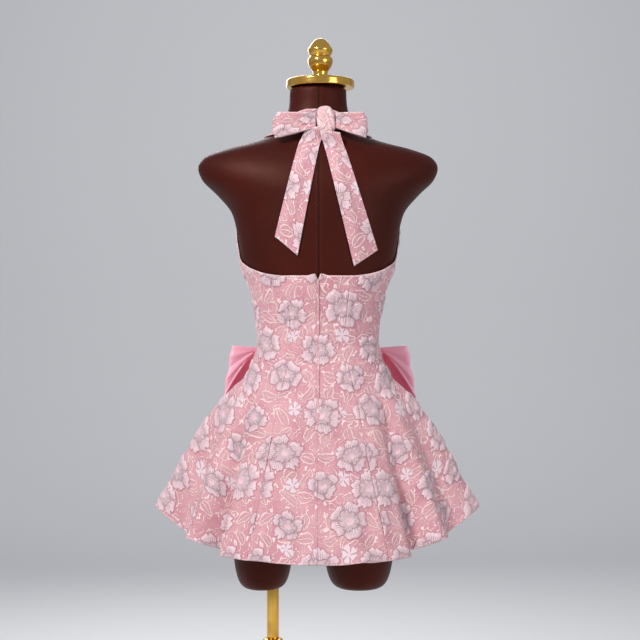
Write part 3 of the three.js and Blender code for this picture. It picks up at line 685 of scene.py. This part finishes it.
def jacquard_finish(look, name="jacquard_pink", flowers=1):
    """Pink jacquard: pale raised line-work on a dusty ground, and puffed white flowers."""
    f = Finish(name)
    flat = f.node("UVMap", {"uv_map": "flat"})
    along, down, _ = f.parts(flat)
    u, v = along * 1000, down * 1000
    place = f.joined(along, down)

    # The two lattices of flowers, the nearer petals on top, and small flowers between
    wide, low = pushed(u, v)
    one, other = (flower_at(wide, low, odd) for odd in (0, 1))
    pick = f.node("Math", {"operation": "GREATER_THAN"}, {0: one[0], 1: other[0]})
    inside, away, reach, petal, inner = (b + (a - b) * pick for a, b in zip(one, other))
    bud, bud_away, bud_reach, bud_petal, _ = flower_at(wide + 46, low + 12, 0, size=12, shift=2)
    wobble = f.noise(place, 260, 2) - 0.5
    flower = f.ease(inside + wobble * 2.4, -0.5, 0.7) * flowers
    small = f.ease(bud + wobble * 2.4, -0.4, 0.6) * (1 - f.ease(inside, -4, -2)) * flowers
    edge, ray = abs(petal), away / reach
    gap = f.ease(edge, 0.4, 0.485) * f.ease(ray, 0.3, 0.5)
    tuck = 1 - f.ease(abs(inner + wobble * 2), 0.3, 1.3)
    groove = f.ease(sine(petal * 50 + wobble * 3), 0.25, 0.95) * f.ease(ray, 0.14, 0.3)
    groove = groove * (1 - f.ease(ray, 0.62, 0.92))
    heart = 1 - f.ease(ray, 0.08, 0.2)
    bud_gap = f.ease(abs(bud_petal), 0.34, 0.48) * f.ease(bud_away / bud_reach, 0.1, 0.3)

    # Raised pale lines over the ground: toothed leaves with veins, and loose squiggles
    push = f.node("VectorMath", {"operation": "MULTIPLY_ADD"}, {
        0: f.noise(place, 120, 1, output=1), 1: (0.013, 0.013, 0), 2: place})
    field = f.noise(push, 46, 0.5)
    squiggle = 1 - f.ease(abs(sine(field * 20)), 0.2, 0.42)
    line = squiggle * f.ease(f.noise(place, 84, 1), 0.36, 0.4)
    clear = 1 - f.ease(inside, -2.2, -0.4) * flowers
    leaf, drawn = leaf_lines(f, wide + 17, low + 15, 1.9)
    line = most(line * (1 - leaf), drawn)
    line = line * clear * (1 - small)

    # Colours
    patch = f.noise(place, 22, 2)
    ground = f.mixed(f.ease(patch, 0.3, 0.7), shade(*look.ground_deep), shade(*look.ground))
    ground = f.mixed(line, ground, shade(*look.line))
    # Painted shadow: a darker band on the ground round each raised flower
    rim_shadow_share = f.ease(inside, -3.4, -0.9) * (1 - f.ease(inside, -0.6, 0.5)) * flowers
    ground = f.mixed(rim_shadow_share * 0.38, ground, shade(*look.shadow))
    tone = f.ease(f.noise(place, 160, 3, 0.6), 0.35, 0.7)
    white = f.mixed(tone * 0.45, shade(*look.flower), shade(*look.ground))
    # Painted shade: the gaps between petals, the inner ring's line and the petal grooves are
    # darkened
    white = f.mixed(most(most(gap, tuck) * 0.52, groove * 0.5), white, shade(*look.petal_groove_shadow))
    white = f.mixed(heart * 0.3, white, shade(*look.heart))
    colour = f.mixed(flower, ground, white)
    # Painted shade in the gaps between the small flowers' petals
    tiny = f.mixed(bud_gap * 0.7, shade(*look.flower), shade(*look.petal_groove_shadow))
    colour = f.mixed(small, colour, tiny)
    rolled = 1 - f.ease(f.mark("edge"), 1.6, 2.8)
    colour = f.mixed(rolled * 0.55, colour, shade(*look.line))

    # Relief: lines, petals, and the fine crepe of the weave
    crepe = f.noise(place, 900, 2, 0.6)
    puff = f.noise(place, 150, 2)
    height = line * 0.6 + flower * (1.1 - most(gap, tuck) * 0.9 - groove * 0.6 - heart * 0.4)
    height = height + small * (0.8 - bud_gap * 0.5) + puff * 0.5 + crepe * 0.25
    threads = f.node("TexWave", {"bands_direction": "DIAGONAL"},
                     {"Vector": place, "Scale": 620, "Distortion": 1.5, "Detail": 1})
    return f.surface(
        Base_Color=colour, Roughness=0.62 + crepe * 0.2 - flower * 0.1, Sheen_Weight=0.35,
        Sheen_Roughness=0.45, Sheen_Tint=(1, 0.86, 0.88, 1), Specular_IOR_Level=0.35,
        Normal=f.bump(threads, 0.12, 0.0003, f.bump(height, 0.9, 0.0019)),
    )


def satin_finish(look, name="satin_pink", inside=0):
    """Pink satin: long floats of thread with a soft gleam across the folds and streaks of painted
    sheen; inside the loops, painted shade.
    """
    f = Finish(name)
    flat = f.node("UVMap", {"uv_map": "flat"})
    along, down, _ = f.parts(flat)
    floats = f.noise(f.joined(along * 90, down * 2600), 1, 3, 0.6)
    weave = f.noise(f.joined(along, down), 1500, 2)
    drift = f.noise(f.joined(along, down), 14, 2)
    # Inside the loops, a deeper rose of painted shade and bounced light
    face = look.satin_inside_shade if inside else look.satin
    colour = f.mixed(drift * (1 - 0.7 * inside), shade(*face), shade(*look.satin_deep))
    # Painted sheen: pale streaks along the floats
    colour = f.mixed(floats * (0.35 - 0.25 * inside), colour, shade(*look.line))
    return f.surface(
        Base_Color=colour, Roughness=0.24 + floats * 0.14 + weave * 0.06, Sheen_Weight=0.3,
        Sheen_Tint=(1, 0.78, 0.86, 1), Specular_IOR_Level=0.7, Anisotropic=0.5,
        Normal=f.bump(floats * 0.6 + weave * 0.4, 0.16, 0.0004),
    )


def cover_finish(look):
    """The form's burgundy-brown cover: close knit, a low gleam, and a stitched back seam."""
    f = Finish("stitched_cover")
    spot = f.node("TexCoord", output=3)
    x, y, z = f.parts(spot)
    knit = f.noise(spot, 1400, 2, 0.6)
    drift = f.noise(spot, 9, 3)
    rub = f.noise(spot, 70, 4, 0.7)
    behind = f.ease(y, 0.0, 0.01)
    off = x * 1000 + 1.5
    lace = 1 - f.ease(abs(off + 1.9 * sine(z * 900)), 0.5, 1.1)
    groove = most(1 - f.ease(abs(off), 0.3, 1.1), lace) * behind
    stitch = (1 - f.ease(abs(abs(off) - 4.2), 0.4, 1.0)) * behind
    stitch = stitch * f.ease(sine(z * 1800 + 1), -0.2, 0.3)
    side = (1 - f.ease(abs(y * 1000 + 6), 0.5, 1.8)) * f.ease(z, 1.30, 1.31)
    colour = f.mixed(drift, shade(*look.cover), shade(*look.cover_deep))
    colour = f.mixed(f.ease(rub, 0.55, 0.85) * 0.35, colour, shade(*look.cover_worn))
    colour = f.mixed(most(groove, side) * 0.8, colour, shade(0.06, 0.02, 0.016))
    colour = f.mixed(stitch * 0.55, colour, shade(*look.cover_worn))
    height = knit * 0.25 + stitch * 0.6 - groove * 1.6 - side * 1.2 + rub * 0.25
    return f.surface(
        Base_Color=colour, Roughness=0.4 + rub * 0.14 + knit * 0.08, Specular_IOR_Level=0.2,
        Specular_Tint=(1, 0.62, 0.5, 1),
        Normal=f.bump(height, 0.4, 0.0006),
    )


def brass_finish(look):
    """Polished brass with turning marks and a little tarnish."""
    f = Finish("polished_brass")
    spot = f.node("TexCoord", output=3)
    x, y, z = f.parts(spot)
    rings = f.noise(f.joined(x * 8, y * 8, z * 900), 1, 3, 0.6)
    tarnish = f.ease(f.noise(spot, 26, 4, 0.62), 0.5, 0.78)
    scratch = f.noise(f.joined(x * 500, y * 500, z * 60), 1, 2)
    colour = f.mixed(tarnish * 0.6, shade(*look.brass), shade(*look.brass_deep))
    return f.surface(
        Base_Color=colour, Metallic=1, Roughness=0.13 + tarnish * 0.16 + rings * 0.07,
        Normal=f.bump(rings * 0.7 + scratch * 0.3, 0.06, 0.0004),
    )


def floor_finish():
    """The plain pale studio floor."""
    f = Finish("studio_floor")
    grain = f.noise(f.node("TexCoord", output=3), 60, 3)
    tone = f.mixed(grain * 0.12, shade(0.85, 0.85, 0.855), shade(0.795, 0.795, 0.8))
    return f.surface(Base_Color=tone, Roughness=0.85)


def tint(name, description, *rgb):
    """A colour property, as seen on a screen."""
    return bpy.props.FloatVectorProperty(
        name=name, description=description, subtype="COLOR_GAMMA", size=3, min=0, max=1,
        default=[c / 255 for c in rgb],
    )


def length(name, description, mm):
    return bpy.props.FloatProperty(
        name=name, description=description, default=mm * MM, min=0, subtype="DISTANCE",
        unit="LENGTH", precision=4,
    )


class DressColours(bpy.types.PropertyGroup):
    """The colours of the cloth, the form and the metal."""
    ground: tint("Ground", "Pink ground of the jacquard", 216, 161, 167)
    ground_deep: tint("Deep ground", "Deeper pink patches of the ground", 200, 140, 150)
    line: tint("Line-work", "Pale raised lines of the jacquard", 246, 211, 208)
    shadow: tint("Rim", "Shadowed rim round the flowers", 186, 112, 124)
    flower: tint("Flower", "Petals of the raised flowers", 229, 203, 208)
    # Painted shade for the petal grooves and the gaps between petals
    petal_groove_shadow: tint("Petal shade", "Grooves of the petals", 178, 124, 136)
    heart: tint("Heart", "Centres of the flowers", 232, 150, 162)
    satin: tint("Satin", "The waist bow", 255, 184, 206)
    satin_deep: tint("Deep satin", "Deeper drifts in the waist bow", 248, 152, 180)
    # Painted shade and bounced light inside the loops
    satin_inside_shade: tint("Inside of the bow", "The satin's reverse, in the loops", 255, 130, 160)
    cover: tint("Cover", "The form's cover", 72, 20, 13)
    cover_deep: tint("Deep cover", "Darker drifts of the cover", 46, 11, 7)
    cover_worn: tint("Worn cover", "Rubbed places and stitches of the cover", 92, 36, 25)
    brass: tint("Brass", "Polished brass", 236, 186, 88)
    brass_deep: tint("Tarnish", "Tarnished brass", 176, 120, 44)


class DressSizes(bpy.types.PropertyGroup):
    """Sizes that a maker would change."""
    cloth: length("Cloth", "Thickness of the dress's jacquard", 1.4)
    puff: length("Puff", "How far the flowers stand out of the cloth", 2.5)
    lens: bpy.props.FloatProperty(
        name="Lens", description="Focal length of the camera, in millimetres", default=80.16,
        min=10,
    )
    light: bpy.props.FloatProperty(
        name="Key light", description="Power of the large key light, in watts", default=76,
        min=0, subtype="POWER", unit="POWER",
    )


def material(kind):
    """A finish by name, made when it is first asked for."""
    makers = {
        "jacquard": ("jacquard_pink", jacquard_finish), "satin": ("satin_pink", satin_finish),
        "ground": ("jacquard_ground", lambda look: jacquard_finish(look, "jacquard_ground", 0)),
        "reverse": ("satin_shaded_reverse", lambda look: satin_finish(look, "satin_shaded_reverse", 1)),
        "cover": ("stitched_cover", cover_finish), "brass": ("polished_brass", brass_finish),
    }
    name, make = makers[kind]
    return bpy.data.materials.get(name) or make(bpy.context.scene.dress_colours)


# How finely the form is drawn: points round it and down it, and the cells of its joined skin
FORM_COLUMNS, TORSO_ROWS, THIGH_ROWS = 145, 180, 140
SKIN_CELL = 0.0042
THIGH_TOP, THIGH_BOTTOM = 850, 640


class DRESS_OT_form(bpy.types.Operator):
    """Makes the torso with its shoulder caps and two thigh stumps"""
    bl_idname = "dress.form"
    bl_label = "Dress form"

    def execute(self, context):
        turns = np.linspace(0, 360, FORM_COLUMNS)
        heights = np.linspace(NECK_TOP, CROTCH, TORSO_ROWS)
        shells = [grid_piece("torso", body_point(turns[None], heights[:, None]), closed=True)]
        for x, y, wide, deep in THIGHS:
            heights = np.linspace(THIGH_TOP, THIGH_BOTTOM, THIGH_ROWS)[:, None]
            size = track(THIGH_SECTIONS, "z", "size")(heights)
            ring = section_reach(turns[None], wide * size, deep * size, deep * size, 2.1)
            points = polar(turns[None], ring, heights) + np.array([x, y, 0])
            shells.append(grid_piece("thigh", points, closed=True))
        bm = bmesh.new()
        for shell in shells:
            bm.from_mesh(shell.data)
            bpy.data.objects.remove(shell)
        made = placed("form_body_cover", mesh_of("form_body_cover", bm))
        remesh = made.modifiers.new("skin", "REMESH")
        remesh.mode = "VOXEL"
        remesh.voxel_size = SKIN_CELL
        remesh.use_smooth_shade = True
        soften = made.modifiers.new("soften", "SMOOTH")
        soften.factor = 0.5
        soften.iterations = 3
        solid = made.evaluated_get(context.evaluated_depsgraph_get())
        made.data = bpy.data.meshes.new_from_object(solid)
        made.modifiers.clear()
        finished(made, material("cover"), "form_body")
        return {"FINISHED"}


# Turned metal: radius and height in mm, and where the axis stands
BRASS_AXIS = (-4, -6)
PLATE = ((0, 1486.3), (54, 1486.3), (56.6, 1486.7), (57.7, 1487.7), (58, 1489.3), (58, 1491),
         (58, 1495), (58, 1497.4), (57.6, 1498.9), (56.6, 1500), (55, 1500.7), (53, 1500.9),
         (51.5, 1500.5), (50, 1500.5), (48.5, 1500.9), (28, 1501), (0, 1501))
FINIAL = ((0, 0), (15, 0), (16.5, 1.5), (16, 4), (12.4, 7), (12.8, 13), (16, 18), (19.5, 24),
          (21.3, 32), (20, 37), (17.3, 40.5), (19.2, 44), (21.3, 50.5), (18.4, 56), (13.8, 63),
          (8, 68.5), (0, 71))
POLE_AT = (76.5, 0)
BASE = ((0, 0), (183.6, 0), (184.6, 0.6), (185, 1.6), (185, 8), (184.4, 10.2), (182, 12),
        (177, 15), (173, 17.3), (170, 18), (24, 18), (23, 18), (0, 18))


def rod(radius, low, high, soft=1.2):
    """The profile of a round bar with softened ends."""
    return ((0, low), (radius - soft, low), (radius - 0.3 * soft, low + 0.3 * soft),
            (radius, low + soft), (radius, high - soft), (radius - 0.3 * soft, high - 0.3 * soft),
            (radius - soft, high), (0, high))


class DRESS_OT_metal(bpy.types.Operator):
    """Turns the neck plate, finial, pole, collar, tube and base"""
    bl_idname = "dress.metal"
    bl_label = "Brass fittings"

    def execute(self, context):
        seat = 1501.3
        turned = (
            ("neck_plate", PLATE, BRASS_AXIS, 128, 2),
            ("finial", [(r, z + seat) for r, z in FINIAL], BRASS_AXIS, 96, 5),
            ("pole", rod(10.2, 552.3, 690), POLE_AT, 64, 1),
            ("pole_collar", rod(17, 528.3, 552, 2.5), POLE_AT, 64, 1),
            ("pole_tube", rod(13, 18.3, 528), POLE_AT, 64, 1),
            ("base", BASE, (0, 0), 160, 2),
        )
        for name, profile, centre, steps, rounds in turned:
            made = spun_piece(name + "_turned", profile, centre, steps, rounds)
            finished(made, material("brass"), name)
        return {"FINISHED"}


class DRESS_OT_panels(bpy.types.Operator):
    """Cuts and hangs the seven panels of the dress"""
    bl_idname = "dress.panels"
    bl_label = "Panels"

    def execute(self, context):
        cuts = [("front", *FRONT_SEAMS, 180, COLUMN)]
        for name, first, last in PANELS:
            cell = COLUMN if name == "side_front" else BACK_COLUMN
            cuts.append((name + "_left", first, last, first, cell))
            cuts.append((name + "_right", 360 - last, 360 - first, 360 - first, cell))
        for cut in cuts:
            piece, flat = panel(*cut)
            size, area = cut_size(flat)
        return {"FINISHED"}


def steps_along(line):
    """Distance along a line of points from its start."""
    return np.concatenate([[0], np.cumsum(np.linalg.norm(np.diff(line, axis=0), axis=1))])


def strip_flat(points):
    """Flat coordinates of a strip, from the lengths of its middle row and middle column."""
    across = steps_along(points[len(points) // 2])
    down = steps_along(points[:, points.shape[1] // 2])
    return np.stack(np.broadcast_arrays(across[None], down[:, None]), -1)


def strip(node, ending, points, thick, cloth, turned=False):
    """A band of cloth through rows of points, its outer side at its own thickness. Gives the
    piece back with its flat size and its area in metres."""
    length, width = (float(size) for size in strip_flat(points)[-1, -1] * MM)
    outer = points + facing(points) * (-1 if turned else 1) * thick
    flat = strip_flat(outer)
    if turned:
        outer, flat = outer[:, ::-1], flat[:, ::-1]
    rows, columns = outer.shape[:2]
    side = np.minimum(np.arange(rows)[:, None], np.arange(rows)[::-1][:, None])
    edge = side * width / MM / (rows - 1) + np.zeros((1, columns))
    made = grid_piece(node + ending, outer, flat, edge)
    finished(walled(made, thick * 0.9), material(cloth), node)
    # The loops' inner faces get a deeper rose of painted shade and bounced light
    if cloth == "satin":
        made.data.materials.append(material("reverse"))
        made.modifiers["wall"].material_offset = 1
    across, down = np.diff(outer, axis=1)[:-1], np.diff(outer, axis=0)[:, :-1]
    area = np.linalg.norm(np.cross(across, down), axis=2).sum() * MM**2
    return made, (length, width), float(area)


def cloth_strip(node, points, thick, cloth, turned=False):
    """A strip of cloth, made by strip() with a name that ends in _cloth."""
    made, (length, width), area = strip(node, "_cloth", points, thick, cloth, turned)


# How finely the neck band, the loops and the tails are drawn
BAND_COLUMNS, BAND_ROWS = 300, 26
LOOP_COLUMNS, LOOP_ROWS = 120, 44
TAIL_COLUMNS, TAIL_ROWS = 34, 110

# The zip tape: half its width, how far it stands over the cloth, and the level where it ends
ZIP_HALF, ZIP_PROUD, ZIP_END = 2, 0.75, 0.37


class DRESS_OT_band(bpy.types.Operator):
    """Lays the halter band round the neck and the zip down the back"""
    bl_idname = "dress.band"
    bl_label = "Neck band and zip"

    def execute(self, context):
        angles = np.linspace(BAND_FROM, BAND_TO, BAND_COLUMNS)
        down = np.linspace(0, 1, BAND_ROWS)[:, None]
        at = (angles % 360)[None]
        base = body_point(at + 0 * down, band_high(at) + (band_low(at) - band_high(at)) * down)
        turn = np.radians(angles)
        gathers = 0.5 * np.sin(turn * 19 + down * 5) * (0.35 + np.cos(turn) ** 2)
        points = base + facing(base) * (CLEAR + gathers * np.sin(np.pi * down))[..., None]
        cloth_strip("neck_band", points, JACQUARD, "jacquard")

        levels = np.concatenate([np.linspace(-1, 0, 50)[:-1], np.linspace(0, ZIP_END, 60)])
        x = np.linspace(-ZIP_HALF, ZIP_HALF, 9)
        turn = np.degrees(x[None] / dress_point(0, levels)[:, 1][:, None]) % 360
        base = dress_point(turn, levels[:, None])
        ridge = 0.25 * (1 - (x / ZIP_HALF) ** 2)
        coil = 0.06 * np.sin(np.arange(len(levels)) * 1.9)[:, None] * (np.abs(x) < 1.2)
        points = base + facing(base) * (CLEAR + JACQUARD + ZIP_PROUD + ridge + coil)[..., None]
        strip("zip", "_tape", points, 1.0, "ground")
        return {"FINISHED"}


# The tie behind the neck and the bow at the waist: knots, loops, how far each loop reaches from
# its knot and the gap left between them
NECK_KNOT = dict(centre=(-13, 64.8, 1422), wide=30, deep=22, tall=48, lean=4)
NECK_LOOP = dict(depth=11, inner=22, outer=42, droop=8, skew=4, bend=4, gather=1.2, swell=0.8,
                 tuck=0, rounded=0.09)
NECK_REACH, NECK_GAP = {"left": 70, "right": 51}, 1.7
WAIST_KNOT = dict(centre=(0, -116.4, 1003), wide=44, deep=24, tall=60, lean=0)
WAIST_LOOP = dict(depth=15, inner=48, outer=92, droop=2, skew=16, bend=32, gather=3, swell=0.5,
                  tuck=1.05, rounded=0)
WAIST_REACH, WAIST_GAP = {"left": 136, "right": 142}, -0.3

# Each tail's four corners, across and up: top left, top right, end left and end right
TAILS = (
    ("left", (28, 1399), (-6.5, 1401), (70, 1229), (33, 1198)),
    ("right", (-7, 1394), (-40, 1390), (-59, 1181), (-98, 1208)),
)


def loops(name, knot, shape, reach, gap, thick, cloth, creases):
    """The two loops of a bow, with creases that fan out from the knot. Each crease is its place
    down, its width and its depth."""
    for end, side in (("left", 1), ("right", -1)):
        centre = knot["centre"]
        start = (centre[0] + side * (knot["wide"] / 2 + gap), *centre[1:])
        way = np.linspace(0, 1, LOOP_COLUMNS)[None]
        down = np.linspace(-0.5, 0.5, LOOP_ROWS)[:, None]
        points, kept = loop_surface(start, side, reach[end], shape, way, down)
        led = np.sin(np.pi * way)
        fan = sum(
            depth * bell((down - at * (0.4 + 0.6 * led)) * 10, width) * led**0.5 * (1 - 0.55 * led)
            for at, width, depth in creases
        )
        points = points + facing(points) * side * (kept * fan)[..., None]
        cloth_strip(f"{name}_loop_{end}", points, thick, cloth,
                    turned=side < 0)


class DRESS_OT_neck_tie(bpy.types.Operator):
    """Ties the bow behind the neck, with its two tails down the back"""
    bl_idname = "dress.neck_tie"
    bl_label = "Tie behind the neck"

    def execute(self, context):
        pleats = ((-0.5, 0.25, 0.13, 0.2), (-0.08, 0.3, 0.11, 0.22), (0.34, 0.22, 0.12, 0.2),
                  (0.72, 0.1, 0.12, 0.14))
        creases = ((-0.27, 0.8, 2.2), (0.02, 0.7, -2.0), (0.2, 0.6, 1.8), (0.4, 0.6, -1.3))
        knot_piece("neck_bow_knot", **NECK_KNOT, pleats=pleats, cloth="jacquard", slope=-2,
                   slant=0.34)
        loops("neck_bow", NECK_KNOT, NECK_LOOP, NECK_REACH, NECK_GAP, JACQUARD, "jacquard",
              creases)
        for side, top_left, top_right, end_left, end_right in TAILS:
            across = np.linspace(0, 1, TAIL_COLUMNS)[None]
            down = np.linspace(0, 1, TAIL_ROWS)[:, None]
            left = top_left[0] + (end_left[0] - top_left[0]) * down
            right = top_right[0] + (end_right[0] - top_right[0]) * down
            top = top_left[1] + (top_right[1] - top_left[1]) * across
            end = end_left[1] + (end_right[1] - end_left[1]) * across
            points = back_point(left + (right - left) * across, top + (end - top) * down)
            ripple = 1.25 * (1 - np.cos(2 * np.pi * (across + 0.3 * down)))
            folds = 1.6 * bell(across - 0.42 - 0.1 * down, 0.13) * (1 - 0.6 * down)
            root = bell(down, 0.055)
            points[..., 1] += ripple + folds + 0.8 + 9 * root
            points[..., 2] += 11 * root
            drawn = (NECK_KNOT["centre"][0] - (left + right) / 2) * 0.35
            points[..., 0] += drawn * root
            cloth_strip(f"neck_tail_{side}", points, JACQUARD, "jacquard",
                        turned=True)
        return {"FINISHED"}


class DRESS_OT_waist_bow(bpy.types.Operator):
    """Makes the wide satin bow in front of the waist"""
    bl_idname = "dress.waist_bow"
    bl_label = "Waist bow"

    def execute(self, context):
        pleats = ((-0.5, 0.1, 0.16, 0.1), (-0.1, -0.08, 0.14, 0.12), (0.3, 0.12, 0.15, 0.1),
                  (0.66, 0, 0.12, 0.08))
        creases = ((-0.3, 0.7, 4), (-0.08, 0.6, -3), (0.12, 0.7, 3.4), (0.36, 0.7, -2.6))
        knot_piece("waist_bow_knot", **WAIST_KNOT, pleats=pleats, cloth="satin")
        loops("waist_bow", WAIST_KNOT, WAIST_LOOP, WAIST_REACH, WAIST_GAP, SATIN, "satin", creases)
        return {"FINISHED"}


class DRESS_OT_stage(bpy.types.Operator):
    """Sets the floor, the backdrop, the lights and the camera"""
    bl_idname = "dress.stage"
    bl_label = "Stage"

    def execute(self, context):
        scene, sizes = context.scene, context.scene.dress_sizes
        bm = bmesh.new()
        bmesh.ops.create_grid(bm, x_segments=1, y_segments=24, size=1)
        for vert in bm.verts:
            t = (1 - vert.co.y) / 2
            bend = min(max((t - 0.5) / 0.25, 0), 1) * math.pi / 2
            back = 9 - 13 * min(t, 0.5) / 0.5
            y = back - 1.2 * math.sin(bend)
            z = 1.2 * (1 - math.cos(bend)) + max(0, t - 0.75) * 22
            vert.co = (vert.co.x * 10, y, z - 0.0005)
        bmesh.ops.recalc_face_normals(bm, faces=bm.faces)
        sweep = placed("studio_sweep", mesh_of("studio_sweep", bm))
        sweep.data.materials.append(floor_finish())

        scene.view_settings.view_transform = "Standard"
        world = bpy.data.worlds.new("studio")
        scene.world = world
        world.use_nodes = True
        sky = world.node_tree.nodes["Background"]
        sky.inputs["Color"].default_value = (0.9, 0.92, 1, 1)
        sky.inputs["Strength"].default_value = 0.42
        aim = Vector((0, 0, 1.08))
        lamps = (
            ("key", (1.5, 2.0, 2.8), 0.7, 1.0), ("fill", (-2.2, 2.3, 1.4), 1.6, 0.32),
            ("front", (0.5, -2.6, 2.4), 1.8, 0.5), ("backdrop", (0.0, -1.3, 3.2), 2.4, 0.48),
        )
        for name, place, size, share in lamps:
            lamp = bpy.data.lights.new(name, "AREA")
            lamp.shape = "DISK"
            lamp.size = size
            lamp.energy = sizes.light * share
            holder = bpy.data.objects.new(name, lamp)
            holder.location = place
            target = Vector((0, -4, 1.2)) if name == "backdrop" else aim
            holder.rotation_euler = (Vector(place) - target).to_track_quat("Z", "Y").to_euler()
            scene.collection.objects.link(holder)

        lens = bpy.data.cameras.new("camera")
        lens.lens = sizes.lens
        lens.sensor_width = 36
        lens.clip_start = 0.05
        lens.clip_end = 50
        camera = bpy.data.objects.new("camera", lens)
        camera.location = (-0.0034, 2.42, 1.0925)
        camera.rotation_euler = (math.pi / 2, 0, math.pi)
        scene.collection.objects.link(camera)
        scene.camera = camera
        return {"FINISHED"}


class DRESS_PT_pieces(bpy.types.Panel):
    """Lists what can be made, in order"""
    bl_label = "Cocktail dress"
    bl_idname = "DRESS_PT_pieces"
    bl_space_type = "VIEW_3D"
    bl_region_type = "UI"
    bl_category = "Dress"

    def draw(self, context):
        for maker in MAKERS:
            self.layout.operator(maker.bl_idname)
        for group in (context.scene.dress_sizes, context.scene.dress_colours):
            for name in group.__annotations__:
                self.layout.prop(group, name)


MAKERS = (DRESS_OT_form, DRESS_OT_metal, DRESS_OT_panels, DRESS_OT_band, DRESS_OT_neck_tie,
          DRESS_OT_waist_bow, DRESS_OT_stage)
CLASSES = (DressColours, DressSizes, *MAKERS, DRESS_PT_pieces)


def register():
    for cls in CLASSES:
        bpy.utils.register_class(cls)
    bpy.types.Scene.dress_colours = bpy.props.PointerProperty(type=DressColours)
    bpy.types.Scene.dress_sizes = bpy.props.PointerProperty(type=DressSizes)


def unregister():
    del bpy.types.Scene.dress_colours
    del bpy.types.Scene.dress_sizes
    for cls in reversed(CLASSES):
        bpy.utils.unregister_class(cls)


def main():
    register()
    bpy.ops.dress.form()
    bpy.ops.dress.metal()
    bpy.ops.dress.panels()
    bpy.ops.dress.band()
    bpy.ops.dress.neck_tie()
    bpy.ops.dress.waist_bow()
    bpy.ops.dress.stage()


if __name__ == "__main__":
    main()
